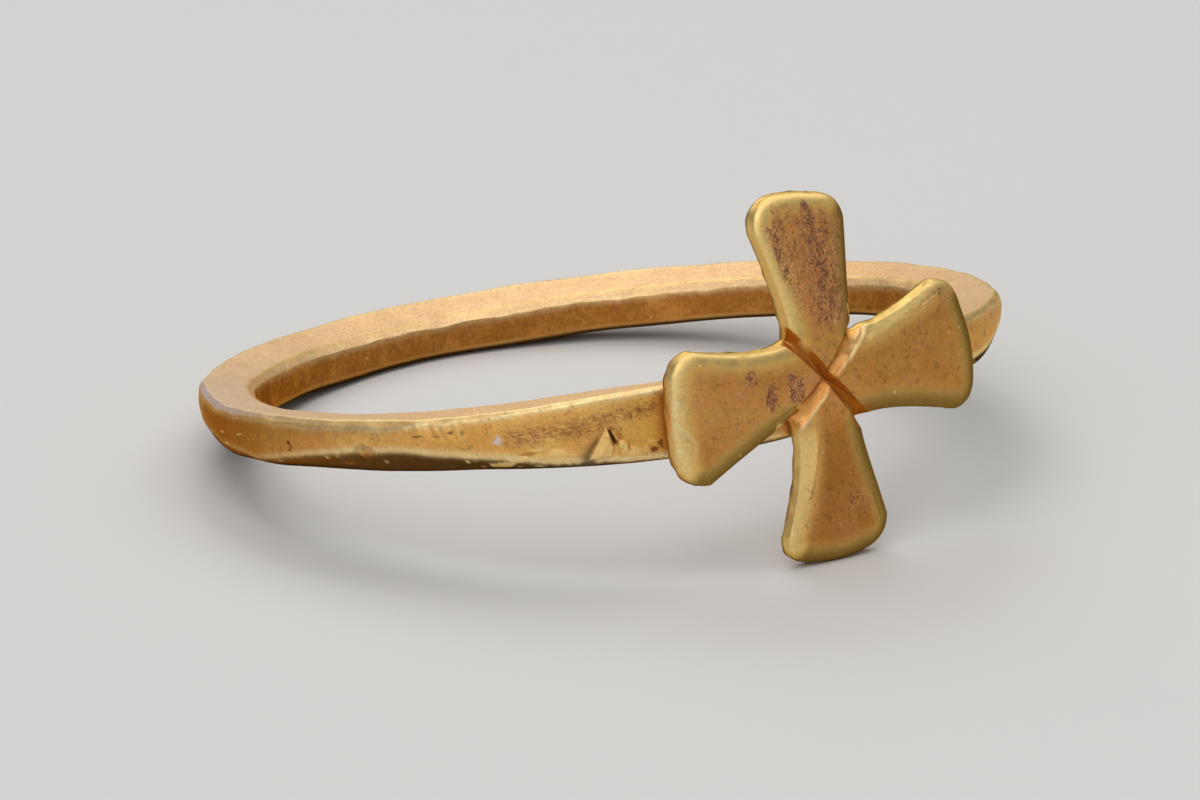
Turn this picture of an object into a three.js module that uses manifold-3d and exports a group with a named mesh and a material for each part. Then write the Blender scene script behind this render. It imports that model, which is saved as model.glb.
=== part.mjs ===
import * as THREE from "three";
import { mergeVertices } from "three/addons/utils/BufferGeometryUtils.js";
import Module from "manifold-3d";

// A hammered gold finger ring with a flared cross soldered to its front.
// Sizes are millimetres. The ring is drawn about its finger axis: X across the cross, -Y out of the cross's
// face, +Z along the finger. Angles round the hoop are counted from the cross, positive towards +X.

// Hoop, a slightly oval band
const HOOP_WIDTH = 21.8;
const HOOP_DEPTH = 20.9;
const BAND_THICKNESS = 1.45;
const BAND_FRONT_THICKNESS = 0.75;
const BAND_TOP = 0.7;
const BAND_BOTTOM = 0.68;
const OUTER_TOP_BEVEL = 0.12;
const OUTER_BOTTOM_BEVEL_DROP = 0.48;
const OUTER_BOTTOM_BEVEL_DEPTH = 0.26;
const FRONT_BOTTOM_BEVEL_DROP = 0.14;
const INNER_TOP_BEVEL_DROP = 0.2;
const INNER_TOP_BEVEL_DEPTH = 0.22;
const INNER_BOTTOM_BEVEL = 0.12;
const TOP_LEAN_AT_BACK = 0.38;
const BOTTOM_LEAN_AT_BACK = 0.1;
const FACE_CROWN = 0.06;

// Shoulders, where the band is hammered out taller and thinner towards the cross. The right one is filed
// higher on its underside, and behind the cross the one passes into the other over a small angle.
const SHOULDER_RISE = 0.38;
const LEFT_SHOULDER_DROP = 0.26;
const RIGHT_SHOULDER_DROP = 0.04;
const SHOULDER_START = 62;
const SHOULDER_END = 12;
const UNDERSIDE_LIFT = 0.2;
const UNDERSIDE_LIFT_ANGLE = 65;
const SIDE_BLEND_ANGLE = 11.5;

// Facets left by the hammer, two uneven rows of them
const FACET_DEPTH = 0.022;
const FACET_COUNTS = [11, 18];

// Cross, a plate filed to four flared arms
const CROSS_CENTRE_X = 0.08;
const CROSS_CENTRE_Z = 0.53;
const RIGHT_ARM_LENGTH = 4.78;
const UPPER_ARM_LENGTH = 4.84;
const LEFT_ARM_LENGTH = 4.6;
const LOWER_ARM_LENGTH = 4.76;
const PLATE_THICKNESS = 0.72;
const TIP_THICKNESS = 0.52;
const ARM_BOW = 0.24;
const BOW_START = 2.1;
const PLATE_EDGE_ROUND = 0.2;
const PLATE_BACK_CHAMFER = 0.08;
const TIP_CORNER = 0.85;
const SEAT_DEPTH = 0.12;
const SOLDER_GAP = 0.03;

// Each arm: the direction that it points in, its length, and then as shares of its length its half widths at
// the tip and at the root on its counter-clockwise and clockwise sides, and how far the counter-clockwise end
// of the tip falls back.
const ARMS = [
  { turn: 1.5, length: RIGHT_ARM_LENGTH, tips: [0.377, 0.347], roots: [0.213, 0.201], slant: 0.05 },
  { turn: 90.6, length: UPPER_ARM_LENGTH, tips: [0.322, 0.244], roots: [0.194, 0.165], slant: -0.012 },
  { turn: 181, length: LEFT_ARM_LENGTH, tips: [0.439, 0.313], roots: [0.187, 0.196], slant: 0.004 },
  { turn: 270.5, length: LOWER_ARM_LENGTH, tips: [0.315, 0.332], roots: [0.16, 0.168], slant: 0.017 },
];
const ARM_WAIST = 1.7;
const TIP_CROWN = 0.12;

// Notches between the arms, and the two V-cuts that run from notch to notch across the middle
const NOTCH_REACH = 1.4;
const NOTCHES = [
  { turn: 51, reach: NOTCH_REACH },
  { turn: 131, reach: 1.13 * NOTCH_REACH },
  { turn: 218, reach: NOTCH_REACH },
  { turn: 307, reach: NOTCH_REACH },
];
const GROOVE_WIDTH = 0.4;
const GROOVE_DEPTH = 0.24;
const GROOVE_OVERRUN = 0.6;

// Small flats where the ring touches the surface that it lies on
const REST_FLAT_DEPTH = 0.03;

// How finely the curved surfaces are divided
const HOOP_STEPS = 120;
const OUTLINE_STEPS = 120;
const EDGE_ROUND_STEPS = 3;
const FRONT_RINGS = [0.85, 0.6, 0.3];
const BACK_RING = 0.6;

const radians = THREE.MathUtils.degToRad;
const wasm = await Module();
wasm.setup();

const gold = new THREE.MeshStandardMaterial({ color: 0xc79a55, roughness: 0.38, metalness: 1.0 });
const crossGold = new THREE.MeshStandardMaterial({ color: 0xb8923f, roughness: 0.42, metalness: 1.0 });

// Joins equal loops of points by quads. A closed loft runs back to its first loop, and an open one ends in
// a fan at its first and last point.
function loft(loops, ends) {
  const count = loops[0].length;
  const points = loops.flat();
  const triangles = [];
  const rows = ends ? loops.length - 1 : loops.length;
  for (let row = 0; row < rows; row += 1) {
    const here = row * count;
    const next = ((row + 1) % loops.length) * count;
    for (let i = 0; i < count; i += 1) {
      const j = (i + 1) % count;
      triangles.push(here + i, here + j, next + j, here + i, next + j, next + i);
    }
  }
  if (ends) {
    const first = points.length;
    points.push(ends[0]);
    const last = points.length;
    points.push(ends[1]);
    const lastLoop = (loops.length - 1) * count;
    for (let i = 0; i < count; i += 1) {
      const j = (i + 1) % count;
      triangles.push(first, j, i, last, lastLoop + i, lastLoop + j);
    }
  }
  const geometry = new THREE.BufferGeometry().setFromPoints(points);
  geometry.setIndex(triangles);
  return geometry;
}

function toSolid(geometry) {
  const bare = geometry.clone();
  bare.deleteAttribute("normal");
  bare.deleteAttribute("uv");
  const merged = mergeVertices(bare, 1e-5);
  const vertProperties = new Float32Array(merged.attributes.position.array);
  const triVerts = new Uint32Array(merged.index.array);
  return new wasm.Manifold(new wasm.Mesh({ numProp: 3, vertProperties, triVerts }));
}

function toGeometry(solid) {
  const mesh = solid.getMesh();
  const geometry = new THREE.BufferGeometry();
  geometry.setAttribute("position", new THREE.BufferAttribute(mesh.vertProperties, 3));
  geometry.setIndex(new THREE.BufferAttribute(mesh.triVerts, 1));
  return geometry;
}

// Hoop

function outerRadius(angle) {
  return 1 / Math.hypot(Math.sin(angle) / (HOOP_WIDTH / 2), Math.cos(angle) / (HOOP_DEPTH / 2));
}

// The angle from the cross as a turn between minus and plus half a circle.
function turnFromCross(angle) {
  return Math.atan2(Math.sin(angle), Math.cos(angle));
}

// 1 at the cross, falling smoothly to 0 where the shoulders start.
function shoulder(angle) {
  const away = Math.abs(turnFromCross(angle));
  return 1 - THREE.MathUtils.smoothstep(away, radians(SHOULDER_END), radians(SHOULDER_START));
}

// 1 at the back of the hoop and 0 at the cross.
function backness(angle) {
  return (1 - Math.cos(angle)) / 2;
}

// Height of the band's underside: each shoulder drops by its own amount, and the right side is filed up.
function underside(angle) {
  const blend = radians(SIDE_BLEND_ANGLE);
  const rightness = THREE.MathUtils.smoothstep(turnFromCross(angle), -blend, blend);
  const drop = THREE.MathUtils.lerp(LEFT_SHOULDER_DROP, RIGHT_SHOULDER_DROP, rightness);
  const lift = UNDERSIDE_LIFT * Math.max(0, Math.cos(angle - radians(UNDERSIDE_LIFT_ANGLE))) ** 2;
  return -BAND_BOTTOM - drop * shoulder(angle) + lift;
}

// The band's section as corners in radius and height, from the top of the outer face down it and round.
function bandSection(angle) {
  const facet = FACET_COUNTS.reduce((sum, count) => sum + FACET_DEPTH * Math.cos(count * angle), 0);
  const outer = outerRadius(angle) + facet;
  const thickness = THREE.MathUtils.lerp(BAND_THICKNESS, BAND_FRONT_THICKNESS, shoulder(angle));
  const inner = outerRadius(angle) - thickness;
  const top = BAND_TOP + SHOULDER_RISE * shoulder(angle);
  const bottom = underside(angle);
  const innerTop = top - TOP_LEAN_AT_BACK * backness(angle);
  const innerBottom = bottom - BOTTOM_LEAN_AT_BACK * backness(angle);
  const bevelShare = thickness / BAND_THICKNESS;
  const innerDrop = INNER_TOP_BEVEL_DROP * bevelShare;
  const innerDepth = INNER_TOP_BEVEL_DEPTH * bevelShare;
  const outerDrop = THREE.MathUtils.lerp(OUTER_BOTTOM_BEVEL_DROP, FRONT_BOTTOM_BEVEL_DROP, shoulder(angle));
  const outerDepth = OUTER_BOTTOM_BEVEL_DEPTH * bevelShare;
  return [
    [outer - OUTER_TOP_BEVEL, top],
    [outer, top - OUTER_TOP_BEVEL],
    [outer + FACE_CROWN, (top + bottom + outerDrop) / 2],
    [outer, bottom + outerDrop],
    [outer - outerDepth, bottom],
    [inner + INNER_BOTTOM_BEVEL, innerBottom],
    [inner, innerBottom + INNER_BOTTOM_BEVEL],
    [inner, innerTop - innerDrop],
    [inner + innerDepth, innerTop],
  ];
}

function hoopSolid() {
  const loops = [];
  for (let step = 0; step < HOOP_STEPS; step += 1) {
    const angle = (step / HOOP_STEPS) * 2 * Math.PI;
    const place = ([radius, height]) =>
      new THREE.Vector3(radius * Math.sin(angle), -radius * Math.cos(angle), height);
    loops.push(bandSection(angle).map(place));
  }
  return toSolid(loft(loops)).subtract(frontBlock(seatY));
}

// The seat is a flat filed on the front of the band, and the plate's back stands a film of solder before it.
const seatY = -(outerRadius(0) + FACE_CROWN - SEAT_DEPTH);
const plateBackY = seatY - SOLDER_GAP;

// A block that holds everything in front of the plane at y.
function frontBlock(y) {
  const block = new THREE.BoxGeometry(HOOP_WIDTH, HOOP_DEPTH, HOOP_WIDTH);
  return toSolid(block.translate(0, y - HOOP_DEPTH / 2, 0));
}

// Cross

// The outline seen from the front, as one closed path: notch, side, rounded corner, crowned tip, corner, side.
function crossOutline() {
  const path = new THREE.Shape();
  const notch = ({ turn, reach }) =>
    new THREE.Vector2(reach * Math.cos(radians(turn)), reach * Math.sin(radians(turn)));
  const start = notch(NOTCHES[NOTCHES.length - 1]);
  path.moveTo(start.x, start.y);
  ARMS.forEach((arm, index) => {
    const turn = radians(arm.turn);
    const local = (along, left) =>
      new THREE.Vector2(along, left).rotateAround(new THREE.Vector2(0, 0), turn);
    const bend = (control, end) => path.quadraticCurveTo(control.x, control.y, end.x, end.y);
    const [tipLeft, tipRight] = arm.tips.map((share) => share * arm.length);
    const [rootLeft, rootRight] = arm.roots.map((share) => share * arm.length);
    const rightEnd = arm.length;
    const leftEnd = arm.length - arm.slant * arm.length;
    bend(local(ARM_WAIST, -rootRight), local(rightEnd - TIP_CORNER, -tipRight));
    bend(local(rightEnd - TIP_CROWN, -tipRight), local(rightEnd - TIP_CROWN / 2, TIP_CORNER - tipRight));
    bend(local(rightEnd + TIP_CROWN / 2, 0), local(leftEnd, tipLeft - TIP_CORNER));
    bend(local(leftEnd - TIP_CROWN, tipLeft), local(leftEnd - TIP_CORNER, tipLeft));
    bend(local(ARM_WAIST, rootLeft), notch(NOTCHES[index]));
  });
  return path.getSpacedPoints(OUTLINE_STEPS).slice(0, OUTLINE_STEPS);
}

// The outline moved inwards by a distance, along the normal at each of its points.
function inset(outline, distance) {
  return outline.map((point, i) => {
    const before = outline[(i + outline.length - 1) % outline.length];
    const after = outline[(i + 1) % outline.length];
    const along = after.clone().sub(before).normalize();
    return new THREE.Vector2(point.x - along.y * distance, point.y + along.x * distance);
  });
}

// How far the plate has bent back, and how thick it is, at a distance from its middle.
function bowAt(distance) {
  const share = Math.max(0, distance - BOW_START) / (RIGHT_ARM_LENGTH - BOW_START);
  return ARM_BOW * share * share;
}

function thicknessAt(distance) {
  return THREE.MathUtils.lerp(PLATE_THICKNESS, TIP_THICKNESS, Math.min(1, distance / RIGHT_ARM_LENGTH));
}

function crossSolid() {
  const outline = crossOutline();
  const frontEdge = inset(outline, PLATE_EDGE_ROUND);
  const backEdge = inset(outline, PLATE_BACK_CHAMFER);
  const at = (point, depthOf) => {
    const distance = point.length();
    const y = plateBackY + bowAt(distance) - depthOf(thicknessAt(distance));
    return new THREE.Vector3(point.x + CROSS_CENTRE_X, y, point.y + CROSS_CENTRE_Z);
  };
  const loops = [
    backEdge.map((point) => at(point.clone().multiplyScalar(BACK_RING), () => 0)),
    backEdge.map((point) => at(point, () => 0)),
    outline.map((point) => at(point, () => PLATE_BACK_CHAMFER)),
  ];
  for (let step = EDGE_ROUND_STEPS; step >= 0; step -= 1) {
    const swing = (step / EDGE_ROUND_STEPS) * (Math.PI / 2);
    const ring = inset(outline, PLATE_EDGE_ROUND * (1 - Math.sin(swing)));
    const drop = PLATE_EDGE_ROUND * (1 - Math.cos(swing));
    loops.push(ring.map((point) => at(point, (thick) => thick - drop)));
  }
  FRONT_RINGS.forEach((share) =>
    loops.push(frontEdge.map((point) => at(point.clone().multiplyScalar(share), (thick) => thick))),
  );
  const middle = new THREE.Vector2(0, 0);
  const ends = [at(middle, () => 0), at(middle, (thick) => thick)];
  return NOTCHES.reduce((plate, notch) => plate.subtract(grooveCutter(notch)), toSolid(loft(loops, ends)));
}

// A three-sided bar whose lower edge runs from the middle of the cross out over one notch.
function grooveCutter({ turn, reach }) {
  const frontY = plateBackY - PLATE_THICKNESS;
  const clearance = GROOVE_DEPTH;
  const halfWidth = (GROOVE_WIDTH / 2) * ((GROOVE_DEPTH + clearance) / GROOVE_DEPTH);
  const wedge = new THREE.Shape();
  wedge.moveTo(0, -GROOVE_DEPTH);
  wedge.lineTo(halfWidth, clearance);
  wedge.lineTo(-halfWidth, clearance);
  wedge.closePath();
  const bar = new THREE.ExtrudeGeometry(wedge, { depth: reach + GROOVE_OVERRUN, bevelEnabled: false });
  const frame = new THREE.Matrix4().makeBasis(
    new THREE.Vector3(-Math.sin(radians(turn)), 0, Math.cos(radians(turn))),
    new THREE.Vector3(0, -1, 0),
    new THREE.Vector3(Math.cos(radians(turn)), 0, Math.sin(radians(turn))),
  );
  frame.setPosition(CROSS_CENTRE_X, frontY, CROSS_CENTRE_Z);
  return toSolid(bar.applyMatrix4(frame));
}

// Rest pose: the ring leans back until the lower arm's tip and the back of the band both touch the surface.

function vertices(solid) {
  const { vertProperties } = solid.getMesh();
  const points = [];
  for (let i = 0; i < vertProperties.length; i += 3) {
    points.push(new THREE.Vector3(vertProperties[i], vertProperties[i + 1], vertProperties[i + 2]));
  }
  return points;
}

function lowest(points, up) {
  return points.reduce((low, point) => (point.dot(up) < low.dot(up) ? point : low));
}

function restUp(hoopPoints, crossPoints) {
  let up = new THREE.Vector3(0, 0, 1);
  for (let round = 0; round < 8; round += 1) {
    const tip = lowest(crossPoints, up);
    const heel = lowest(hoopPoints.filter((point) => point.y > 0), up);
    const lean = Math.atan2(heel.z - tip.z, heel.y - tip.y);
    up = new THREE.Vector3(0, -Math.sin(lean), Math.cos(lean));
  }
  return up;
}

const hoopBody = hoopSolid();
const crossBody = crossSolid();
const up = restUp(vertices(hoopBody), vertices(crossBody));
const lean = Math.atan2(-up.y, up.z);
const ground = lowest(vertices(crossBody), up).dot(up) + REST_FLAT_DEPTH;

// The block below the surface, in the ring's own frame.
const below = new THREE.BoxGeometry(2 * HOOP_WIDTH, 2 * HOOP_DEPTH, HOOP_WIDTH)
  .translate(0, 0, ground - HOOP_WIDTH / 2)
  .applyMatrix4(new THREE.Matrix4().makeRotationX(lean));
const surface = toSolid(below);

function ringPiece(name, solid, material) {
  const mesh = new THREE.Mesh(toGeometry(solid.subtract(surface)), material);
  mesh.name = name;
  return mesh;
}

const ring = new THREE.Group();
ring.add(ringPiece("hoop", hoopBody, gold), ringPiece("cross", crossBody, crossGold));
ring.rotation.x = -lean;

// The finished ring stands with its box centred over the origin and its underside at zero.
const part = new THREE.Group();
part.add(ring);
part.updateMatrixWorld(true);
const box = new THREE.Box3().setFromObject(part, true);
ring.position.set(-(box.min.x + box.max.x) / 2, -(box.min.y + box.max.y) / 2, -ground);

export default part;
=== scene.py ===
"""A worn gold finger ring with a flared cross on its front, lying on a pale floor.

The ring is worked out in its own frame, in millimetres: X across the cross, -Y out of the cross's face, +Z
along the finger, and angles round the hoop counted from the cross, positive towards +X. A placement then
leans it back and carries it, in metres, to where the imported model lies.
"""

import logging
import math
from dataclasses import dataclass, field
from enum import Enum

import bpy
import numpy as np
from mathutils import Matrix, Vector

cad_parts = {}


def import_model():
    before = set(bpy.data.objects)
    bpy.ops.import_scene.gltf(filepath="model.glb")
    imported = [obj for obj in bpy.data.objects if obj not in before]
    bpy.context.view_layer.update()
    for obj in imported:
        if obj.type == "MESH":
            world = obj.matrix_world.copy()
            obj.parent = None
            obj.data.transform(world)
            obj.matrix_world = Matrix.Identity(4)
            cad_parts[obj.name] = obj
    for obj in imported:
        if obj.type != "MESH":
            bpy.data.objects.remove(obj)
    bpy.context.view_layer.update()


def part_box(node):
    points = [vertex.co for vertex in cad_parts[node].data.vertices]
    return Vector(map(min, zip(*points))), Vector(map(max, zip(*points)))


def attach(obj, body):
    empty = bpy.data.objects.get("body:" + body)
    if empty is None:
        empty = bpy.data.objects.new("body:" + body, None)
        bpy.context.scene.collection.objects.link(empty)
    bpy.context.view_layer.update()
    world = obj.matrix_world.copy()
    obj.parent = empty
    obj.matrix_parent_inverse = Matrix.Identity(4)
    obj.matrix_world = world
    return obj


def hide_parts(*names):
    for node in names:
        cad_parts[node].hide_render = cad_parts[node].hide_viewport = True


LOG = logging.getLogger("finger_ring")
MM = 0.001


class Piece(Enum):
    """The pieces of the ring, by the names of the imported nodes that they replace."""

    HOOP = "hoop"
    CROSS = "cross"


class Slot(Enum):
    """The record's material slots."""

    HOOP = "hoop_gold"
    CROSS = "cross_gold"


def smoothstep(value: np.ndarray, low: float, high: float) -> np.ndarray:
    """Rises from 0 at low to 1 at high as t * t * (3 - 2 * t)."""
    t = np.clip((value - low) / (high - low), 0.0, 1.0)
    return t * t * (3.0 - 2.0 * t)


def plateau(value: np.ndarray, rise: tuple[float, float], fall: tuple[float, float]) -> np.ndarray:
    """Rises from 0 to 1 over the first span and falls back to 0 over the second."""
    return smoothstep(value, *rise) * (1.0 - smoothstep(value, *fall))


def bump(value: np.ndarray, width: float) -> np.ndarray:
    """A bell curve, exp(-(value / width) squared)."""
    return np.exp(-np.square(value / width))


def lerp(start: np.ndarray | float, end: np.ndarray | float, share: np.ndarray | float) -> np.ndarray:
    """The straight mix of two values."""
    return start + (end - start) * share


def turned(angle: np.ndarray) -> np.ndarray:
    """The same angle between minus and plus half a circle."""
    return np.arctan2(np.sin(angle), np.cos(angle))


def segment(
    points: np.ndarray, start: tuple[float, float], end: tuple[float, float]
) -> tuple[np.ndarray, np.ndarray]:
    """Distance to a straight line between two points, and the share of the line at the nearest point.

    Args:
        points: Points in the plane, with two numbers in the last axis.
        start: One end of the line.
        end: Its other end.

    Returns:
        The distance of each point, and its share along the line from 0 to 1.
    """
    a = np.array(start)
    along = np.array(end) - a
    share = np.clip(((points - a) @ along) / (along @ along), 0.0, 1.0)
    nearest = a + share[..., None] * along
    return np.linalg.norm(points - nearest, axis=-1), share


def inside(points: np.ndarray, corners: tuple[tuple[float, float], ...]) -> np.ndarray:
    """Distance inwards from the nearest side of a convex outline, negative outside it.

    Args:
        points: Points in the plane, with two numbers in the last axis.
        corners: The outline's corners, counter-clockwise.

    Returns:
        The distance of each point.
    """
    ring = np.array(corners)
    along = np.roll(ring, -1, axis=0) - ring
    inward = np.stack([-along[:, 1], along[:, 0]], axis=-1)
    inward /= np.linalg.norm(along, axis=-1, keepdims=True)
    return np.min([(points - start) @ way for start, way in zip(ring, inward)], axis=0)


@dataclass(frozen=True)
class Waves:
    """A smooth random field, the sum of cosine waves that run in random directions.

    The field is height * sqrt(2 / count) * sum of cos(k . p + phase), with wave vectors k whose lengths are
    spread about 2 pi / length, so its values have the spread named by height.
    """

    seed: int
    length: float
    height: float
    count: int = 30
    stretch: tuple[float, float, float] = (1.0, 1.0, 1.0)

    def at(self, points: np.ndarray) -> np.ndarray:
        """The field's value at points that have three numbers in their last axis.

        Args:
            points: Places in millimetres, or any numbers that run like them.

        Returns:
            One value for each point.
        """
        draw = np.random.default_rng(self.seed)
        way = draw.normal(size=(self.count, 3))
        way /= np.linalg.norm(way, axis=1, keepdims=True)
        way *= 2.0 * math.pi / (self.length * draw.uniform(0.6, 1.6, size=(self.count, 1)))
        way /= np.array(self.stretch)
        phase = draw.uniform(0.0, 2.0 * math.pi, size=self.count)
        total = np.zeros(points.shape[:-1])
        for vector, start in zip(way, phase):
            total += np.cos(points @ vector + start)
        return self.height * math.sqrt(2.0 / self.count) * total


@dataclass(frozen=True)
class Swell:
    """A smooth local change round the hoop: by how much, at what angle and over what reach, in degrees."""

    amount: float
    angle: float
    reach: float

    def at(self, degrees: np.ndarray) -> np.ndarray:
        """The change at the given angles."""
        return self.amount * bump(degrees - self.angle, self.reach)


def total(fields: tuple[Waves | Swell, ...], places: np.ndarray) -> np.ndarray:
    """The sum of several fields or swells at the same places."""
    return sum(one.at(places) for one in fields)


@dataclass(frozen=True)
class Placement:
    """The lean of the ring's frame and its shift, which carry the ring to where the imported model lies."""

    lean: float
    shift: tuple[float, float, float]

    def turn(self, points: np.ndarray) -> np.ndarray:
        """Turns points or directions about X, so that the ring leans back by the angle named lean.

        Args:
            points: Points or directions in the ring's frame.

        Returns:
            The same, leaned back.
        """
        c, s = math.cos(self.lean), math.sin(self.lean)
        x, y, z = points[..., 0], points[..., 1], points[..., 2]
        return np.stack([x, y * c + z * s, -y * s + z * c], axis=-1)

    def to_row(self, points: np.ndarray) -> np.ndarray:
        """Points of the ring, in millimetres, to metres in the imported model's frame."""
        return (self.turn(points) + np.array(self.shift)) * MM


@dataclass
class Surface:
    """A closed surface on a grid of rows and columns, with values that vary over it."""

    points: np.ndarray
    masks: dict[str, np.ndarray] = field(default_factory=dict)
    flow: np.ndarray | None = None
    poles: np.ndarray | None = None

    def normals(self) -> np.ndarray:
        """Unit normals of the grid, from the cross product of its two central differences.

        Returns:
            One normal for each grid point, outwards.
        """
        if self.poles is None:
            down = np.roll(self.points, -1, axis=0) - np.roll(self.points, 1, axis=0)
        else:
            down = np.gradient(self.points, axis=0)
        across = np.roll(self.points, -1, axis=1) - np.roll(self.points, 1, axis=1)
        normal = np.cross(across, down)
        return normal / np.maximum(np.linalg.norm(normal, axis=-1, keepdims=True), 1e-12)

    def faces(self) -> tuple[np.ndarray, np.ndarray]:
        """The quads between neighbouring rows, and the triangles that close the two poles.

        Returns:
            Quads as rows of four vertex numbers, and triangles as rows of three.
        """
        rows, columns = self.points.shape[:2]
        row = np.arange(rows if self.poles is None else rows - 1)[:, None]
        column = np.arange(columns)[None, :]
        here = row * columns + column
        side = row * columns + (column + 1) % columns
        below = ((row + 1) % rows) * columns + column
        corner = ((row + 1) % rows) * columns + (column + 1) % columns
        quads = np.stack([here, side, corner, below], axis=-1).reshape(-1, 4)
        if self.poles is None:
            return quads, np.zeros((0, 3), dtype=int)
        first, last = rows * columns, rows * columns + 1
        ring = np.arange(columns)
        after = (ring + 1) % columns
        end = (rows - 1) * columns
        start_fan = np.stack([np.full(columns, first), after, ring], axis=-1)
        end_fan = np.stack([np.full(columns, last), end + ring, end + after], axis=-1)
        return quads, np.concatenate([start_fan, end_fan])

    def build(self, name: str, placement: Placement) -> bpy.types.Object:
        """Makes the mesh object, in metres and in place, with its masks as point attributes.

        Args:
            name: The object's name.
            placement: Where the ring lies.

        Returns:
            The new object, at the origin.
        """
        points = self.points.reshape(-1, 3)
        if self.poles is not None:
            points = np.concatenate([points, self.poles])
        placed = placement.to_row(points)
        placed[:, 2] = np.maximum(placed[:, 2], 0.0)
        quads, triangles = self.faces()
        mesh = bpy.data.meshes.new(name)
        mesh.vertices.add(len(placed))
        mesh.vertices.foreach_set("co", placed.astype(np.float32).ravel())
        corners = np.concatenate([quads.ravel(), triangles.ravel()]).astype(np.int32)
        mesh.loops.add(len(corners))
        mesh.loops.foreach_set("vertex_index", corners)
        sides = np.concatenate([np.full(len(quads), 4), np.full(len(triangles), 3)])
        starts = np.concatenate([[0], np.cumsum(sides)[:-1]])
        mesh.polygons.add(len(sides))
        mesh.polygons.foreach_set("loop_start", starts.astype(np.int32))
        mesh.polygons.foreach_set("use_smooth", np.ones(len(sides), dtype=bool))
        if self.flow is not None:
            layer = mesh.uv_layers.new(name="flow")
            layer.data.foreach_set("uv", self.flow.astype(np.float32).ravel())
        for mask, values in self.masks.items():
            spread = values.ravel()
            if self.poles is not None:
                spread = np.concatenate([spread, [values[0].mean(), values[-1].mean()]])
            attribute = mesh.attributes.new(mask, "FLOAT", "POINT")
            attribute.data.foreach_set("value", np.clip(spread, 0.0, 1.0).astype(np.float32))
        mesh.update(calc_edges=True)
        mesh.validate()
        made = bpy.data.objects.new(name, mesh)
        bpy.context.scene.collection.objects.link(made)
        return made


@dataclass(frozen=True)
class Tear:
    """A tear in the outer face: a three-cornered flap, a crack beside it and a torn flake to its right.

    Places are millimetres along the band and up it, from the flap's upper corner.
    """

    angle: float = -31.3
    height: float = 0.17
    flap: tuple[tuple[float, float], ...] = ((-0.05, 0.04), (-0.6, -0.78), (0.02, -0.76), (0.13, -0.48))
    crack: tuple[tuple[float, float], ...] = ((0.02, -0.1), (0.13, -0.42))
    flake: tuple[tuple[float, float], ...] = ((0.14, -0.5), (0.5, -0.68), (0.48, -0.42), (0.32, -0.34))
    rise: float = 0.11
    depth: float = 0.15

    def shape(self, plane: np.ndarray, ragged: np.ndarray) -> tuple[np.ndarray, np.ndarray, np.ndarray]:
        """The tear's relief, with painted shade in its crack and a painted shadow beside the flap, and its
        folds painted bright as worn metal with painted highlight.

        Args:
            plane: Points along the band and up it, from the flap's upper corner.
            ragged: Small offsets that roughen the outlines.

        Returns:
            Relief in millimetres, the dark mask of the painted shade and shadow, and the bright mask of worn
            metal with painted highlight.
        """
        flap = inside(plane, self.flap) + 0.2 * ragged
        flake = inside(plane, self.flake) + 0.6 * ragged
        left, fold = segment(plane, self.flap[0], self.flap[1])
        crack, share = segment(plane, self.crack[0], self.crack[1])
        lifted = smoothstep(flap, 0.0, 0.02)
        curled = smoothstep(flake, 0.0, 0.02)
        opened = bump(crack, 0.02 + 0.035 * share)
        # Painted shadow to the left of the flap, laid into the dark mask with the crack's painted shade.
        shadow = bump(left - 0.02, 0.05 + 0.13 * fold) * smoothstep(fold, 0.1, 0.6)
        shadow = shadow * (flap < 0) * (plane[..., 0] < 0)
        relief = self.rise * lifted * (0.35 + 0.65 * smoothstep(left, 0.0, 0.25)) + 0.6 * self.rise * curled
        relief = relief - self.depth * opened - 0.5 * self.rise * shadow
        # A painted highlight along the crack's right edge.
        lit_lip = bump(crack - 0.06, 0.02) * (share > 0.1) * (share < 0.9)
        bright = np.maximum(np.maximum(0.7 * lifted, curled), lit_lip)
        return relief, np.maximum(opened, 0.75 * shadow), bright * (1 - opened)


@dataclass(frozen=True)
class Spot:
    """A small stain, dent or lump: its kind of mask, its place, its half sizes and how far it stands out."""

    kind: str
    angle: float
    height: float
    wide: float
    tall: float
    rise: float = 0.0


@dataclass(frozen=True)
class Rut:
    """A curved dark line, half of an oval: its middle, its half sizes, and whether it is the upper half."""

    angle: float
    height: float
    wide: float
    tall: float
    upper: bool


@dataclass(frozen=True)
class Streak:
    """A brown streak on the outer face: its two ends as angle and height, and its half width."""

    ends: tuple[tuple[float, float], ...]
    width: float


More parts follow.
